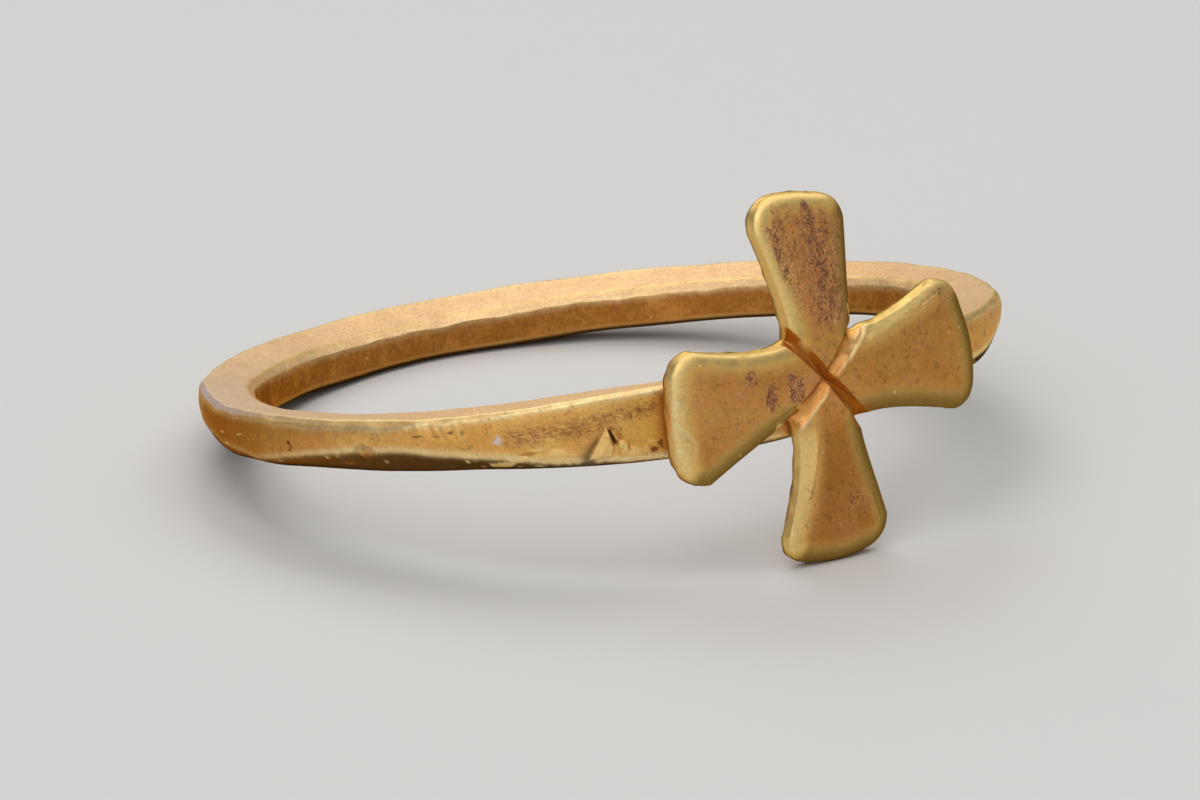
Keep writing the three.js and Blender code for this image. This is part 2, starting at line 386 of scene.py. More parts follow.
@dataclass(frozen=True)
class Hoop:
    """The band: a slightly oval hoop of hammered bar, taller and thinner towards the cross.

    Sizes are millimetres and angles degrees from the cross, positive to the right. The section's nine corners
    are numbered from the top of the outer face down it, along the underside, up the inner wall and over its
    bevel.
    """

    width: float = 21.8
    depth: float = 20.9
    thickness: float = 1.45
    front_thickness: float = 0.75
    top: float = 0.7
    bottom: float = 0.68
    outer_top_bevel: float = 0.12
    bottom_bevel_drop: float = 0.48
    bottom_bevel_depth: float = 0.26
    front_bevel_drop: float = 0.14
    inner_top_drop: float = 0.2
    inner_top_depth: float = 0.22
    inner_bottom_bevel: float = 0.12
    top_lean: float = 0.38
    bottom_lean: float = 0.1
    crown: float = 0.06
    shoulder_rise: float = 0.38
    left_drop: float = 0.26
    right_drop: float = 0.04
    shoulder_start: float = 62.0
    shoulder_end: float = 12.0
    underside_lift: float = 0.2
    lift_angle: float = 65.0
    side_blend: float = 11.5
    facet_depth: float = 0.022
    facet_counts: tuple[int, int] = (11, 18)
    seat_depth: float = 0.12
    outer_drift: Waves = Waves(11, 3.6, 0.008, 18)
    inner_drift: Waves = Waves(12, 3.4, 0.012, 18)
    top_drift: Waves = Waves(13, 4.2, 0.008, 18)
    bottom_drift: Waves = Waves(14, 3.6, 0.01, 18)
    inner_drop_drift: Waves = Waves(15, 1.5, 0.08, 18)
    inner_depth_drift: Waves = Waves(16, 1.3, 0.06, 18)
    bevel_drift: Waves = Waves(17, 1.5, 0.018, 18)
    edge_drift: Waves = Waves(18, 1.0, 0.18, 18)
    hammering: tuple[Waves, ...] = (Waves(21, 3.0, 0.008, 24), Waves(22, 1.2, 0.002, 24))
    grain: tuple[Waves, ...] = (Waves(23, 0.42, 0.0012, 40), Waves(24, 0.24, 0.0009, 40))
    comb: Waves = Waves(31, 0.2, 1.0, 24, (1.0, 8.0, 1.0))
    roughness: Waves = Waves(32, 0.3, 0.02, 26)
    raggedness: Waves = Waves(33, 0.13, 0.018, 24)
    flaking: Waves = Waves(34, 0.2, 0.5, 36, (2.4, 1.0, 1.0))
    front_top_rise: Swell = Swell(0.1, -50.0, 26.0)
    inner_slimming: Swell = Swell(-0.55, -98.0, 34.0)
    bevel_drops: tuple[Swell, ...] = (
        Swell(0.17, -64.5, 8.0),
        Swell(-0.26, -90.0, 10.0),
        Swell(-0.12, -38.0, 11.0),
    )
    bevel_widening: Swell = Swell(0.25, -62.0, 14.0)
    edge_widenings: tuple[Swell, ...] = (Swell(0.07, -70.0, 16.0), Swell(0.08, -104.0, 16.0))
    far_left: Swell = Swell(1.0, -106.0, 30.0)
    # Painted reflections: paler, cooler tints on the top at the far left and on the outer face at both ends.
    reflection_top_left: Swell = Swell(1.0, -108.0, 34.0)
    reflection_left_end: Swell = Swell(0.6, -114.0, 6.0)
    reflection_right_end: Swell = Swell(1.0, 62.0, 22.0)
    # Painted reflection: a lavender-grey tint along the top edge of the outer face at the far left.
    lilac_reflection_edge: Swell = Swell(0.7, -112.0, 20.0)
    shaded_left_end: Swell = Swell(1.0, -98.0, 24.0)
    # Painted light where the band meets the cross's left arm: an orange glow of light reflected between them,
    # and a thin painted shadow line.
    glow_by_cross: Swell = Swell(1.0, -22.5, 5.5)
    shadow_by_cross: Swell = Swell(1.0, -23.2, 0.9)
    rough_edge: Swell = Swell(1.0, -38.0, 9.0)
    flaked_edge: Swell = Swell(1.0, -43.0, 8.0)
    flaked_end: Swell = Swell(0.8, -28.0, 5.0)
    combed_top: Swell = Swell(1.0, -57.0, 6.0)
    combed_middle: Swell = Swell(1.0, -70.0, 4.0)
    steps: int = 880
    corner_rounds: tuple[float, ...] = (0.035, 0.045, 0.4, 0.05, 0.1, 0.06, 0.04, 0.03, 0.045)
    longest_round: float = 0.42
    worn_corners: tuple[int, ...] = (0, 1, 3, 7, 8)
    worn_width: float = 0.11
    comb_depth: float = 0.016
    flake_height: float = 0.022
    rut_depth: float = 0.025
    finer_front: Swell = Swell(0.7, -58.0, 38.0)
    finer_tear: Swell = Swell(2.6, -31.3, 3.0)
    arc_steps: tuple[int, ...] = (3, 3, 30, 3, 3, 3, 3, 3, 3)
    edge_steps: tuple[int, ...] = (3, 12, 10, 6, 5, 1, 8, 3, 9)
    tear: Tear = Tear()
    spots: tuple[Spot, ...] = (
        Spot("rust", -80.5, 0.06, 0.08, 0.09, -0.012),
        Spot("rust", -80.25, -0.05, 0.05, 0.08, -0.01),
        Spot("rust", -80.6, -0.17, 0.04, 0.05, -0.008),
        Spot("ember", -66.6, -0.12, 0.3, 0.15, 0.05),
        Spot("ember", -70.4, -0.48, 0.24, 0.05, 0.01),
        Spot("ember", -63.8, 0.62, 0.24, 0.07, 0.0),
        Spot("pale", -46.7, 0.08, 0.13, 0.14, 0.01),
        Spot("soil_and_shadow", -57.9, 0.3, 0.16, 0.03, -0.008),
        Spot("soil_and_shadow", -55.3, 0.27, 0.13, 0.025, -0.006),
        Spot("soil_and_shadow", -53.2, 0.34, 0.09, 0.05, -0.008),
        Spot("soil_and_shadow", -51.6, 0.33, 0.07, 0.07, -0.01),
        Spot("soil_and_shadow", -29.5, 0.09, 0.03, 0.1, -0.02),
        Spot("soil_and_shadow", -28.0, 0.4, 0.035, 0.15, -0.012),
        Spot("rust", -25.3, -0.54, 0.12, 0.1, -0.015),
        Spot("rust", -24.2, -0.41, 0.07, 0.14, -0.012),
        Spot("bare", -28.0, -0.52, 0.3, 0.1, 0.006),
        Spot("bare", -36.5, -0.42, 0.1, 0.03, 0.008),
        Spot("bare", -41.3, -0.24, 0.3, 0.03, 0.012),
        Spot("ember", -42.6, -0.33, 0.26, 0.07, -0.01),
        Spot("ember", -29.9, -0.08, 0.12, 0.14, 0.0),
        Spot("bare", -25.2, -0.33, 0.16, 0.035, 0.03),
        Spot("soil_and_shadow", 35.45, 0.84, 0.12, 0.03, -0.02),
    )
    ruts: tuple[Rut, ...] = (
        Rut(-51.5, 0.02, 0.18, 0.14, False),
        Rut(-66.9, -0.14, 0.32, 0.2, True),
    )
    streaks: tuple[Streak, ...] = (
        Streak(((-45.0, 0.12), (-31.0, 0.28)), 0.26),
        Streak(((-33.0, 0.36), (-24.5, 0.56)), 0.2),
    )

    @property
    def seat(self) -> float:
        """The plane, by its Y, of the flat filed on the band's front for the cross."""
        return -(self.depth / 2 + self.crown - self.seat_depth)

    def angles(self) -> np.ndarray:
        """Angles round the hoop, closer together on the front left, where the fine flaws are.

        Returns:
            The angles of the grid's rows, in radians.
        """
        fine = np.linspace(-math.pi, math.pi, 7201)
        degrees = np.degrees(fine)
        density = 1.0 + self.finer_front.at(degrees) + self.finer_tear.at(degrees)
        share = np.concatenate([[0.0], np.cumsum((density[1:] + density[:-1]) / 2)])
        return np.interp(np.arange(self.steps) / self.steps, share / share[-1], fine)

    def radius(self, angle: np.ndarray) -> np.ndarray:
        """The oval's radius, 1 / hypot(sin / half width, cos / half depth)."""
        return 1.0 / np.hypot(np.sin(angle) / (self.width / 2), np.cos(angle) / (self.depth / 2))

    def shoulder(self, angle: np.ndarray) -> np.ndarray:
        """1 at the cross, falling smoothly to 0 where the shoulders start."""
        away = np.degrees(np.abs(turned(angle)))
        return 1.0 - smoothstep(away, self.shoulder_end, self.shoulder_start)

    def facet(self, angle: np.ndarray) -> np.ndarray:
        """The hammer's broad facets on the outer face, as a sum of cosines round the hoop."""
        return sum(self.facet_depth * np.cos(count * angle) for count in self.facet_counts)

    def top_at(self, angle: np.ndarray) -> np.ndarray:
        """Height of the band's top, which rises over the shoulders."""
        return self.top + self.shoulder_rise * self.shoulder(angle)

    def underside(self, angle: np.ndarray) -> np.ndarray:
        """Height of the band's underside, lower at the left shoulder and filed up on the right.

        Args:
            angle: Angles round the hoop.

        Returns:
            The heights in the ring's frame.
        """
        right = smoothstep(np.degrees(turned(angle)), -self.side_blend, self.side_blend)
        drop = lerp(self.left_drop, self.right_drop, right)
        lift = self.underside_lift * np.maximum(0.0, np.cos(angle - math.radians(self.lift_angle))) ** 2
        return -self.bottom - drop * self.shoulder(angle) + lift

    def circle(self, angle: np.ndarray) -> np.ndarray:
        """Points of the circle along which the slow drifts of the edges are read."""
        return self.width / 2 * np.stack([np.sin(angle), -np.cos(angle), 0 * angle], axis=-1)

    def corners(self, angle: np.ndarray) -> tuple[np.ndarray, np.ndarray]:
        """The nine corners of the band's section, from the top of the outer face down it and round.

        Args:
            angle: Angles round the hoop.

        Returns:
            The corners' radii and heights, each as angles by nine.
        """
        shoulder = self.shoulder(angle)
        back = (1.0 - np.cos(angle)) / 2.0
        degrees = np.degrees(turned(angle))
        line = self.circle(angle)
        outer = self.radius(angle) + self.facet(angle) + self.outer_drift.at(line)
        thickness = lerp(self.thickness, self.front_thickness, shoulder)
        inner = self.radius(angle) - thickness + self.inner_drift.at(line)
        top = self.top_at(angle) + self.top_drift.at(line)
        bottom = self.underside(angle) + self.bottom_drift.at(line)
        inner_top = top - self.top_lean * back + self.front_top_rise.at(degrees)
        inner_bottom = bottom - self.bottom_lean * back
        share = thickness / self.thickness
        slim = share * (1.0 + self.inner_slimming.at(degrees))
        inner_drop = self.inner_top_drop * slim * (1.0 + self.inner_drop_drift.at(line))
        inner_in = self.inner_top_depth * slim * (1.0 + self.inner_depth_drift.at(line))
        outer_drop = lerp(self.bottom_bevel_drop, self.front_bevel_drop, shoulder)
        outer_drop = outer_drop + total(self.bevel_drops, degrees) + self.bevel_drift.at(line)
        outer_in = self.bottom_bevel_depth * share * (1.0 + self.bevel_widening.at(degrees))
        edge = self.outer_top_bevel * (0.85 - 0.4 * shoulder) * (1.0 + self.edge_drift.at(line))
        edge = edge + total(self.edge_widenings, degrees)
        radii = [
            outer - edge,
            outer,
            outer + self.crown,
            outer,
            outer - outer_in,
            inner + self.inner_bottom_bevel,
            inner,
            inner,
            inner + inner_in,
        ]
        heights = [
            top,
            top - edge,
            (top + bottom + outer_drop) / 2,
            bottom + outer_drop,
            bottom,
            inner_bottom,
            inner_bottom + self.inner_bottom_bevel,
            inner_top - inner_drop,
            inner_top,
        ]
        return np.stack(radii, axis=-1), np.stack(heights, axis=-1)

    def section(self, angle: np.ndarray) -> tuple[np.ndarray, np.ndarray]:
        """The section with its corners rounded by short curves, at every angle.

        Args:
            angle: Angles round the hoop.

        Returns:
            Section points as angles by columns by radius and height, and each column's place, whose whole
            part is the last corner that it passed and whose fraction is the share of the way to the next.
        """
        corners = np.stack(self.corners(angle), axis=-1)
        count = corners.shape[1]
        columns, places = [], []
        starts, ends = [], []
        for index in range(count):
            here = corners[:, index]
            for other, keep in ((corners[:, index - 1], starts), (corners[:, (index + 1) % count], ends)):
                length = np.linalg.norm(other - here, axis=-1, keepdims=True)
                share = np.minimum(self.corner_rounds[index] / length, self.longest_round)
                keep.append(here + (other - here) * share)
        for index in range(count):
            here = corners[:, index]
            for t in np.linspace(0.0, 1.0, self.arc_steps[index]):
                columns.append((1 - t) ** 2 * starts[index] + 2 * t * (1 - t) * here + t * t * ends[index])
                places.append(index + 0.12 * (t - 0.5))
            after = starts[(index + 1) % count]
            for t in np.linspace(0.0, 1.0, self.edge_steps[index] + 2)[1:-1]:
                columns.append(lerp(ends[index], after, t))
                places.append(index + lerp(0.1, 0.9, t))
        return np.stack(columns, axis=1), np.mod(np.array(places), count)

    def flaws(self, angle: np.ndarray, height: np.ndarray, outer: np.ndarray) -> tuple[np.ndarray, dict]:
        """Relief of the outer face: the tear, the spots and ruts, the tool marks and the rough lower edge.

        Args:
            angle: Degrees round the hoop, at each grid point.
            height: Height in the ring's frame.
            outer: 1 on the outer face and 0 elsewhere.

        Returns:
            The relief outwards in millimetres, and the masks that go with it by name.
        """
        scale = math.radians(self.width / 2)
        along = angle * scale
        place = np.stack([along, height, 0 * angle], axis=-1)
        ragged = self.raggedness.at(place)
        plane = np.stack([along - self.tear.angle * scale, height - self.tear.height], axis=-1)
        # The tear brings painted shade and shadow in its dark mask, and painted highlight on its flap, flake
        # and crack's edge.
        relief, soil_and_shadow, bare = self.tear.shape(plane, ragged)
        marks = {"soil_and_shadow": soil_and_shadow, "bare": bare, "rust": 0 * angle, "pale": 0 * angle, "ember": 0 * angle}
        for spot in self.spots:
            away = np.hypot((along - spot.angle * scale) / spot.wide, (height - spot.height) / spot.tall)
            cover = 1 - smoothstep(away + 9 * ragged, 0.55, 1.05)
            relief = relief + spot.rise * bump(away, 0.85)
            marks[spot.kind] = np.maximum(marks[spot.kind], cover * (0.65 if spot.kind == "soil_and_shadow" else 1.0))
        for rut in self.ruts:
            up = (height - rut.height) * (1 if rut.upper else -1)
            away = np.hypot((along - rut.angle * scale) / rut.wide, up / rut.tall) - 1 + 3 * ragged
            line = bump(away * rut.tall, 0.03) * smoothstep(up, -0.04, 0.05)
            relief = relief - self.rut_depth * line
            marks["soil_and_shadow"] = np.maximum(marks["soil_and_shadow"], 0.35 * line)
        slanted = np.stack([along + 0.5 * height, height, 0 * angle], axis=-1)
        combed = self.combed_top.at(angle) * smoothstep(height, 0.1, 0.3)
        combed = combed + self.combed_middle.at(angle) * bump(height, 0.25)
        comb = self.comb.at(slanted)
        relief = relief + self.comb_depth * combed * comb
        rough = self.rough_edge.at(angle) * (1 - smoothstep(height, -0.52, -0.3))
        relief = relief + rough * np.abs(self.roughness.at(place))
        low = self.flaked_edge.at(angle) * (1 - smoothstep(height, -0.45, -0.1))
        low = low + self.flaked_end.at(angle) * bump(height + 0.5, 0.14)
        flakes = smoothstep(self.flaking.at(place) + low, 1.15, 1.3)
        relief = relief + self.flake_height * flakes
        # The combed marks' crests are painted bright: worn ridges with painted highlight.
        crests = 0.6 * combed * smoothstep(comb, 0.6, 1.6)
        marks["bare"] = np.maximum(marks["bare"], np.maximum(0.9 * flakes, crests))
        return relief * outer, {name: mask * outer for name, mask in marks.items()}

    def surface(self) -> Surface:
        """The whole band: sections carried round the hoop, with its facets, pits and worn edges.

        Returns:
            The closed surface with its masks and its flow coordinates.
        """
        angle = self.angles()
        section, place = self.section(angle)
        sine, cosine = np.sin(angle)[:, None], np.cos(angle)[:, None]
        points = np.stack([section[..., 0] * sine, -section[..., 0] * cosine, section[..., 1]], axis=-1)
        degrees = np.degrees(turned(angle))[:, None] + 0 * section[..., 0]
        across = place[None, :] + 0 * degrees
        outer = plateau(across, (0.9, 1.2), (3.6, 4.0))
        inner = plateau(across, (5.9, 6.2), (6.9, 7.1))
        bevel = plateau(across, (6.95, 7.1), (7.9, 8.05))
        far_left = self.far_left.at(degrees)
        shoulder_edge = (1 - smoothstep(across, 0.7, 1.0)) * far_left
        # Painted highlight: the top faces, the inner bevel and the far-left top edge are tinted pale as if
        # lit from above.
        upper = np.maximum(smoothstep(across, 7.95, 8.15), shoulder_edge)
        # Painted shade: the lower bevel and the underside are tinted near black, standing in for shade and
        # the dark reflection below the band.
        shaded_under = plateau(across, (3.0, 3.15), (5.9, 6.1))
        corners = np.stack(self.corners(angle), axis=-1)
        worn = np.zeros_like(across)
        for index in self.worn_corners:
            away = np.linalg.norm(section - corners[:, index, None], axis=-1)
            share = 0.6 if index in (7, 8) else 1.0
            worn = np.maximum(worn, share * bump(away, self.worn_width) * (1 - 0.75 * far_left))
        surface = Surface(points)
        normal = surface.normals()
        flat = 1.0 - 0.65 * upper
        hammered = total(self.hammering, points)
        grain = total(self.grain, points)
        relief, marks = self.flaws(degrees, section[..., 1], outer)
        relief += hammered * flat + grain * (0.4 + 0.9 * inner + 0.9 * bevel) * flat
        points = points + normal * relief[..., None]
        points[..., 1] = np.maximum(points[..., 1], self.seat)
        scale = math.radians(self.width / 2)
        plane = np.stack([degrees * scale, section[..., 1]], axis=-1)
        streak = np.zeros_like(across)
        for mark in self.streaks:
            away, _ = segment(plane, *((end * scale, height) for end, height in mark.ends))
            streak = np.maximum(streak, bump(away, mark.width))
        surface.points = points
        # Painted reflections at the band's ends, pale and cooler.
        cool_reflection = np.maximum(upper * self.reflection_top_left.at(degrees), outer * self.reflection_left_end.at(degrees))
        cool_reflection = np.maximum(cool_reflection, (0.35 * upper + 0.5 * outer) * self.reflection_right_end.at(degrees))
        # Painted reflection: lavender-grey along the far-left top edge.
        lilac_reflection = (1 - smoothstep(across, 0.8, 1.0)) * self.lilac_reflection_edge.at(degrees)
        surface.masks = {
            "worn": worn,
            "inner": inner,
            "upper": np.maximum(upper, 0.8 * bevel),
            "cool_reflection": cool_reflection,
            "shaded_under": shaded_under,
            "streak": streak * outer * (1 - marks["bare"]),
            "shade": self.shaded_left_end.at(degrees) * outer,
            # Painted orange glow and painted shadow line where the cross's left arm meets the band.
            "glow": self.glow_by_cross.at(degrees) * outer,
            "deep": self.shadow_by_cross.at(degrees) * outer,
            **marks,
            # A real pale speck, with the painted lavender reflection of the far left laid into the same mask.
            "pale": np.maximum(marks["pale"], lilac_reflection),
        }
        surface.flow = self.flow(angle, section)
        return surface

    def flow(self, angle: np.ndarray, section: np.ndarray) -> np.ndarray:
        """Corner coordinates that follow the band, in metres: the way round it and about its section.

        Args:
            angle: Angles round the hoop.
            section: Section points at each angle.

        Returns:
            Two numbers for each corner of each quad, in the quads' order.
        """
        rows, columns = section.shape[:2]
        round_hoop = np.append(angle, angle[0] + 2 * math.pi) * self.width / 2 * MM
        step = np.linalg.norm(np.roll(section, -1, axis=1) - section, axis=-1).mean(axis=0)
        about = np.concatenate([[0.0], np.cumsum(step)]) * MM
        row = np.arange(rows)[:, None] + np.zeros(columns, dtype=int)
        column = np.arange(columns)[None, :] + np.zeros((rows, 1), dtype=int)
        order = ((0, 0), (0, 1), (1, 1), (1, 0))
        ways = [np.stack([round_hoop[row + down], about[column + over]], axis=-1) for down, over in order]
        return np.stack(ways, axis=2).reshape(-1, 2)


@dataclass(frozen=True)
class Arm:
    """One arm of the cross: its direction in degrees and its length.

    As shares of the length it has its half widths at the tip and the root, each on its counter-clockwise and
    its clockwise side, and the fall of the tip's end.
    """

    turn: float
    length: float
    tips: tuple[float, float]
    roots: tuple[float, float]
    slant: float


@dataclass(frozen=True)
class Bevel:
    """A flat bevel filed along an edge: the ends of its line, its width at each end, and its slope."""

    start: tuple[float, float]
    end: tuple[float, float]
    widths: tuple[float, float]
    slope: float


@dataclass(frozen=True)
class Cross:
    """The cross: a plate filed to four flared arms, with two V-cuts across its middle.

    Sizes are millimetres. Places on the plate are X and Z from the cross's middle, as seen from the front.
    """

    centre_x: float = 0.08
    centre_z: float = 0.53
    thickness: float = 0.72
    tip_thickness: float = 0.52
    bow: float = 0.24
    bow_start: float = 2.1
    bow_reach: float = 4.78
    rim_width: float = 0.34
    rim_drop: float = 0.18
    back_chamfer: float = 0.08
    tip_corner: float = 0.85
    waist: float = 1.7
    tip_crown: float = 0.12
    notch_reach: float = 1.4
    notch_turns: tuple[float, ...] = (51.0, 131.0, 218.0, 307.0)
    notch_shares: tuple[float, ...] = (1.0, 1.13, 1.0, 1.0)
    groove_middle: tuple[float, float] = (-0.09, 0.06)
    groove_width: float = 0.4
    groove_depth: float = 0.24
    groove_arms: tuple[tuple[float, float, float], ...] = (
        (0.95, 0.1, 0.6),
        (1.05, -0.16, -0.2),
        (1.0, 0.1, 0.6),
        (1.05, -0.16, -0.2),
    )
    arms: tuple[Arm, ...] = (
        Arm(1.5, 4.78, (0.377, 0.347), (0.213, 0.201), 0.05),
        Arm(90.6, 4.84, (0.322, 0.244), (0.194, 0.165), -0.012),
        Arm(181.0, 4.6, (0.439, 0.313), (0.187, 0.196), 0.004),
        Arm(270.5, 4.76, (0.315, 0.332), (0.16, 0.168), 0.017),
    )
    patches: tuple[tuple[float, float, float, float], ...] = (
        (-2.42, 0.46, 0.18, 0.24),
        (-1.86, -0.1, 0.16, 0.42),
        (-1.14, 0.08, 0.26, 0.4),
    )
    deposit_edge: tuple[tuple[float, float], ...] = (
        (1.2, 0.2),
        (1.7, -0.35),
        (2.3, -1.0),
        (3.3, -1.3),
        (4.2, -1.6),
        (4.6, -1.0),
    )
    faint_patches: tuple[tuple[float, float, float], ...] = (
        (-0.78, -3.0, 0.38),
        (0.5, -3.25, 0.45),
        (0.0, -3.85, 0.4),
        (-0.85, -3.56, 0.3),
    )
    bevels: tuple[Bevel, ...] = (
        Bevel((-1.0, -0.95), (-1.9, -3.9), (0.42, 0.22), 0.6),
        Bevel((0.85, 1.08), (3.75, 2.0), (0.36, 0.2), 0.5),
        Bevel((-1.15, 1.5), (-2.0, 3.9), (0.26, 0.1), 0.55),
    )
    bevel_reach: float = 0.75
    speck_stretch: float = 1.5
    scratch: tuple[tuple[float, float], ...] = ((-4.41, -0.54), (-4.13, -0.9), (-4.15, -1.29))
    second_line: tuple[tuple[float, float], ...] = ((0.42, 0.3), (1.36, 1.24))
    burr: tuple[float, float, float] = (1.34, 1.3, 0.16)
    light_way: tuple[float, float] = (-0.66, 0.75)
    dishing: float = 0.035
    hammering: tuple[Waves, ...] = (Waves(41, 2.6, 0.007, 24), Waves(42, 1.0, 0.0012, 24))
    grain: Waves = Waves(43, 0.4, 0.0007, 40)
    wall_ridges: Waves = Waves(44, 0.5, 0.012, 30)
    back_waves: Waves = Waves(45, 1.6, 0.008, 24)
    cut_raggedness: Waves = Waves(46, 0.3, 0.022, 24)
    stain_raggedness: Waves = Waves(47, 0.5, 0.16, 30, (1.0, 2.6, 1.0))
    curve_steps: tuple[int, ...] = (62, 30, 34, 30, 62)
    back_rings: int = 12
    wall_rings: int = 5
    rim_rings: int = 9
    face_rings: int = 66

    def notch(self, index: int) -> np.ndarray:
        """The inner corner between two arms.

        Args:
            index: The notch's number, counter-clockwise from the upper right.

        Returns:
            Its place on the plate.
        """
        turn = math.radians(self.notch_turns[index])
        reach = self.notch_reach * self.notch_shares[index]
        return reach * np.array([math.cos(turn), math.sin(turn)])

    def outline(self) -> np.ndarray:
        """The closed outline seen from the front, counter-clockwise, as curves from notch to notch.

        Each curve is (1 - t) squared * start + 2 t (1 - t) * control + t squared * end.

        Returns:
            The outline's points on the plate.
        """
        path = []
        start = self.notch(len(self.arms) - 1)
        for index, arm in enumerate(self.arms):
            turn = math.radians(arm.turn)
            along = np.array([math.cos(turn), math.sin(turn)])
            left = np.array([-math.sin(turn), math.cos(turn)])
            tip_left, tip_right = (share * arm.length for share in arm.tips)
            root_left, root_right = (share * arm.length for share in arm.roots)
            end_right = arm.length
            end_left = arm.length - arm.slant * arm.length
            corner, crown = self.tip_corner, self.tip_crown
            curves = (
                ((self.waist, -root_right), (end_right - corner, -tip_right)),
                ((end_right - crown, -tip_right), (end_right - crown / 2, corner - tip_right)),
                ((end_right + crown / 2, 0.0), (end_left, tip_left - corner)),
                ((end_left - crown, tip_left), (end_left - corner, tip_left)),
                ((self.waist, root_left), None),
            )
            for (control, end), steps in zip(curves, self.curve_steps):
                control_point = control[0] * along + control[1] * left
                end_point = self.notch(index) if end is None else end[0] * along + end[1] * left
                t = np.linspace(0.0, 1.0, steps, endpoint=False)[:, None]
                path.append((1 - t) ** 2 * start + 2 * t * (1 - t) * control_point + t * t * end_point)
                start = end_point
        return np.concatenate(path)

    @staticmethod
    def inset(outline: np.ndarray, distance: float) -> np.ndarray:
        """The outline moved inwards along its normals.

        Args:
            outline: The closed outline.
            distance: How far it moves.

        Returns:
            The moved outline, point for point.
        """
        along = np.roll(outline, -1, axis=0) - np.roll(outline, 1, axis=0)
        along /= np.linalg.norm(along, axis=-1, keepdims=True)
        inward = np.stack([-along[:, 1], along[:, 0]], axis=-1)
        return outline + distance * inward

    def back_at(self, flat: np.ndarray) -> np.ndarray:
        """Depth of the plate's back: its bow is the square of the share of the way out to the tip.

        Args:
            flat: Points in the cross's plane.

        Returns:
            How far the back bends behind the seat's plane, towards the hoop.
        """
        distance = np.linalg.norm(flat, axis=-1)
        share = np.maximum(0.0, distance - self.bow_start) / (self.bow_reach - self.bow_start)
        return self.bow * share * share

    def thickness_at(self, flat: np.ndarray) -> np.ndarray:
        """Thickness of the plate, thinner towards the tips."""
        share = np.minimum(1.0, np.linalg.norm(flat, axis=-1) / self.bow_reach)
        return lerp(self.thickness, self.tip_thickness, share)

    def edge_distance(self, flat: np.ndarray, outline: np.ndarray) -> tuple[np.ndarray, np.ndarray]:
        """Distance from each point to the outline, and the outline point that is nearest.

        Args:
            flat: Points in the cross's plane.
            outline: The closed outline.

        Returns:
            The distances and the numbers of the nearest outline points.
        """
        points = flat.reshape(-1, 2)
        nearest = np.empty(len(points), dtype=int)
        distance = np.empty(len(points))
        chunk = 8000
        for start in range(0, len(points), chunk):
            part = points[start : start + chunk]
            squares = np.square(part[:, None] - outline[None]).sum(axis=-1)
            nearest[start : start + chunk] = squares.argmin(axis=1)
            distance[start : start + chunk] = np.sqrt(squares.min(axis=1))
        return distance.reshape(flat.shape[:-1]), nearest.reshape(flat.shape[:-1])

    def grooves(self, flat: np.ndarray) -> tuple[np.ndarray, ...]:
        """The two cuts: four half lines from the middle out over the notches, each a lopsided V in section.

        In section the cut falls in a straight line from one edge to its deepest line, whose place is a share
        of the half width, and rises again to the other edge.

        Args:
            flat: Points in the cross's plane.

        Returns:
            How deep the metal is cut, and masks of the walls darkened with painted shade, of the paler cut
            and of its edge with a painted highlight.
        """
        middle = np.array(self.groove_middle)
        deepest = np.zeros(flat.shape[:-1])
        masks = [np.zeros(flat.shape[:-1]) for _ in range(3)]
        ragged = self.cut_raggedness.at(np.concatenate([flat, 0 * flat[..., :1]], axis=-1))
        for index, (share, start, lowest) in enumerate(self.groove_arms):
            way = self.notch(index) - middle
            way = way / np.linalg.norm(way)
            across = np.array([-way[1], way[0]]) * (1 if index in (0, 3) else -1)
            along = (flat - middle) @ way
            pale = 1 if index in (0, 2) else 0
            half = self.groove_width / 2 * (0.8 + 0.18 * np.clip(along, 0.0, 2.0)) * (1 + 0.25 * pale)
            aside = (flat - middle) @ across / half + ragged
            begun = smoothstep(along, start - 0.05, start + 0.05)
            falling = (aside + 1.0) / (1.0 + lowest)
            rising = (1.0 - aside) / (1.0 - lowest)
            shape = np.maximum(0.0, np.minimum(falling, rising)) * begun
            combed = 0.012 * np.cos(11.0 * aside + 3.0 * along) * pale * smoothstep(shape, 0.2, 0.5)
            deepest = np.maximum(deepest, self.groove_depth * share * shape + combed)
            # Painted shade on each cut's steep wall, and a painted highlight along the edge of the paler
            # cuts.
            wall = smoothstep(1.08 - np.abs(aside), 0.0, 0.2) * begun
            steep = smoothstep(aside, 0.35, 0.6) if pale else 0.35 + 0.65 * smoothstep(aside, -0.3, 0.0)
            masks[0] = np.maximum(masks[0], wall * steep)
            masks[1] = np.maximum(masks[1], wall * (1.0 if pale else 0.75))
            masks[2] = np.maximum(masks[2], pale * bump(aside + 0.96, 0.14) * smoothstep(along, 0.2, 0.5))
        line, share = segment(flat, *self.second_line)
        second = smoothstep(share, 0.0, 0.3)
        deepest = np.maximum(deepest, 0.06 * bump(line, 0.05) * second)
        # A painted highlight beside the second line.
        lit_lip = np.maximum(masks[2], bump(line - 0.08, 0.03) * second)
        return deepest, masks[0], masks[1] * (1 - masks[0]), lit_lip

    def filed(self, flat: np.ndarray, edge: np.ndarray) -> np.ndarray:
        """Flat bevels filed along three edges: the lower and upper arms' left ones and the right arm's top.

        The metal falls as slope * (width - distance from the edge), and the width tapers along each edge.

        Args:
            flat: Points in the cross's plane.
            edge: Distance from the outline.

        Returns:
            How far the metal falls.
        """
        drop = np.zeros_like(edge)
        for bevel in self.bevels:
            away, share = segment(flat, bevel.start, bevel.end)
            width = lerp(*bevel.widths, share)
            near = (away < self.bevel_reach) * plateau(share, (0.0, 0.14), (0.9, 1.0))
            drop = np.maximum(drop, near * bevel.slope * np.maximum(0.0, width - edge))
        return drop

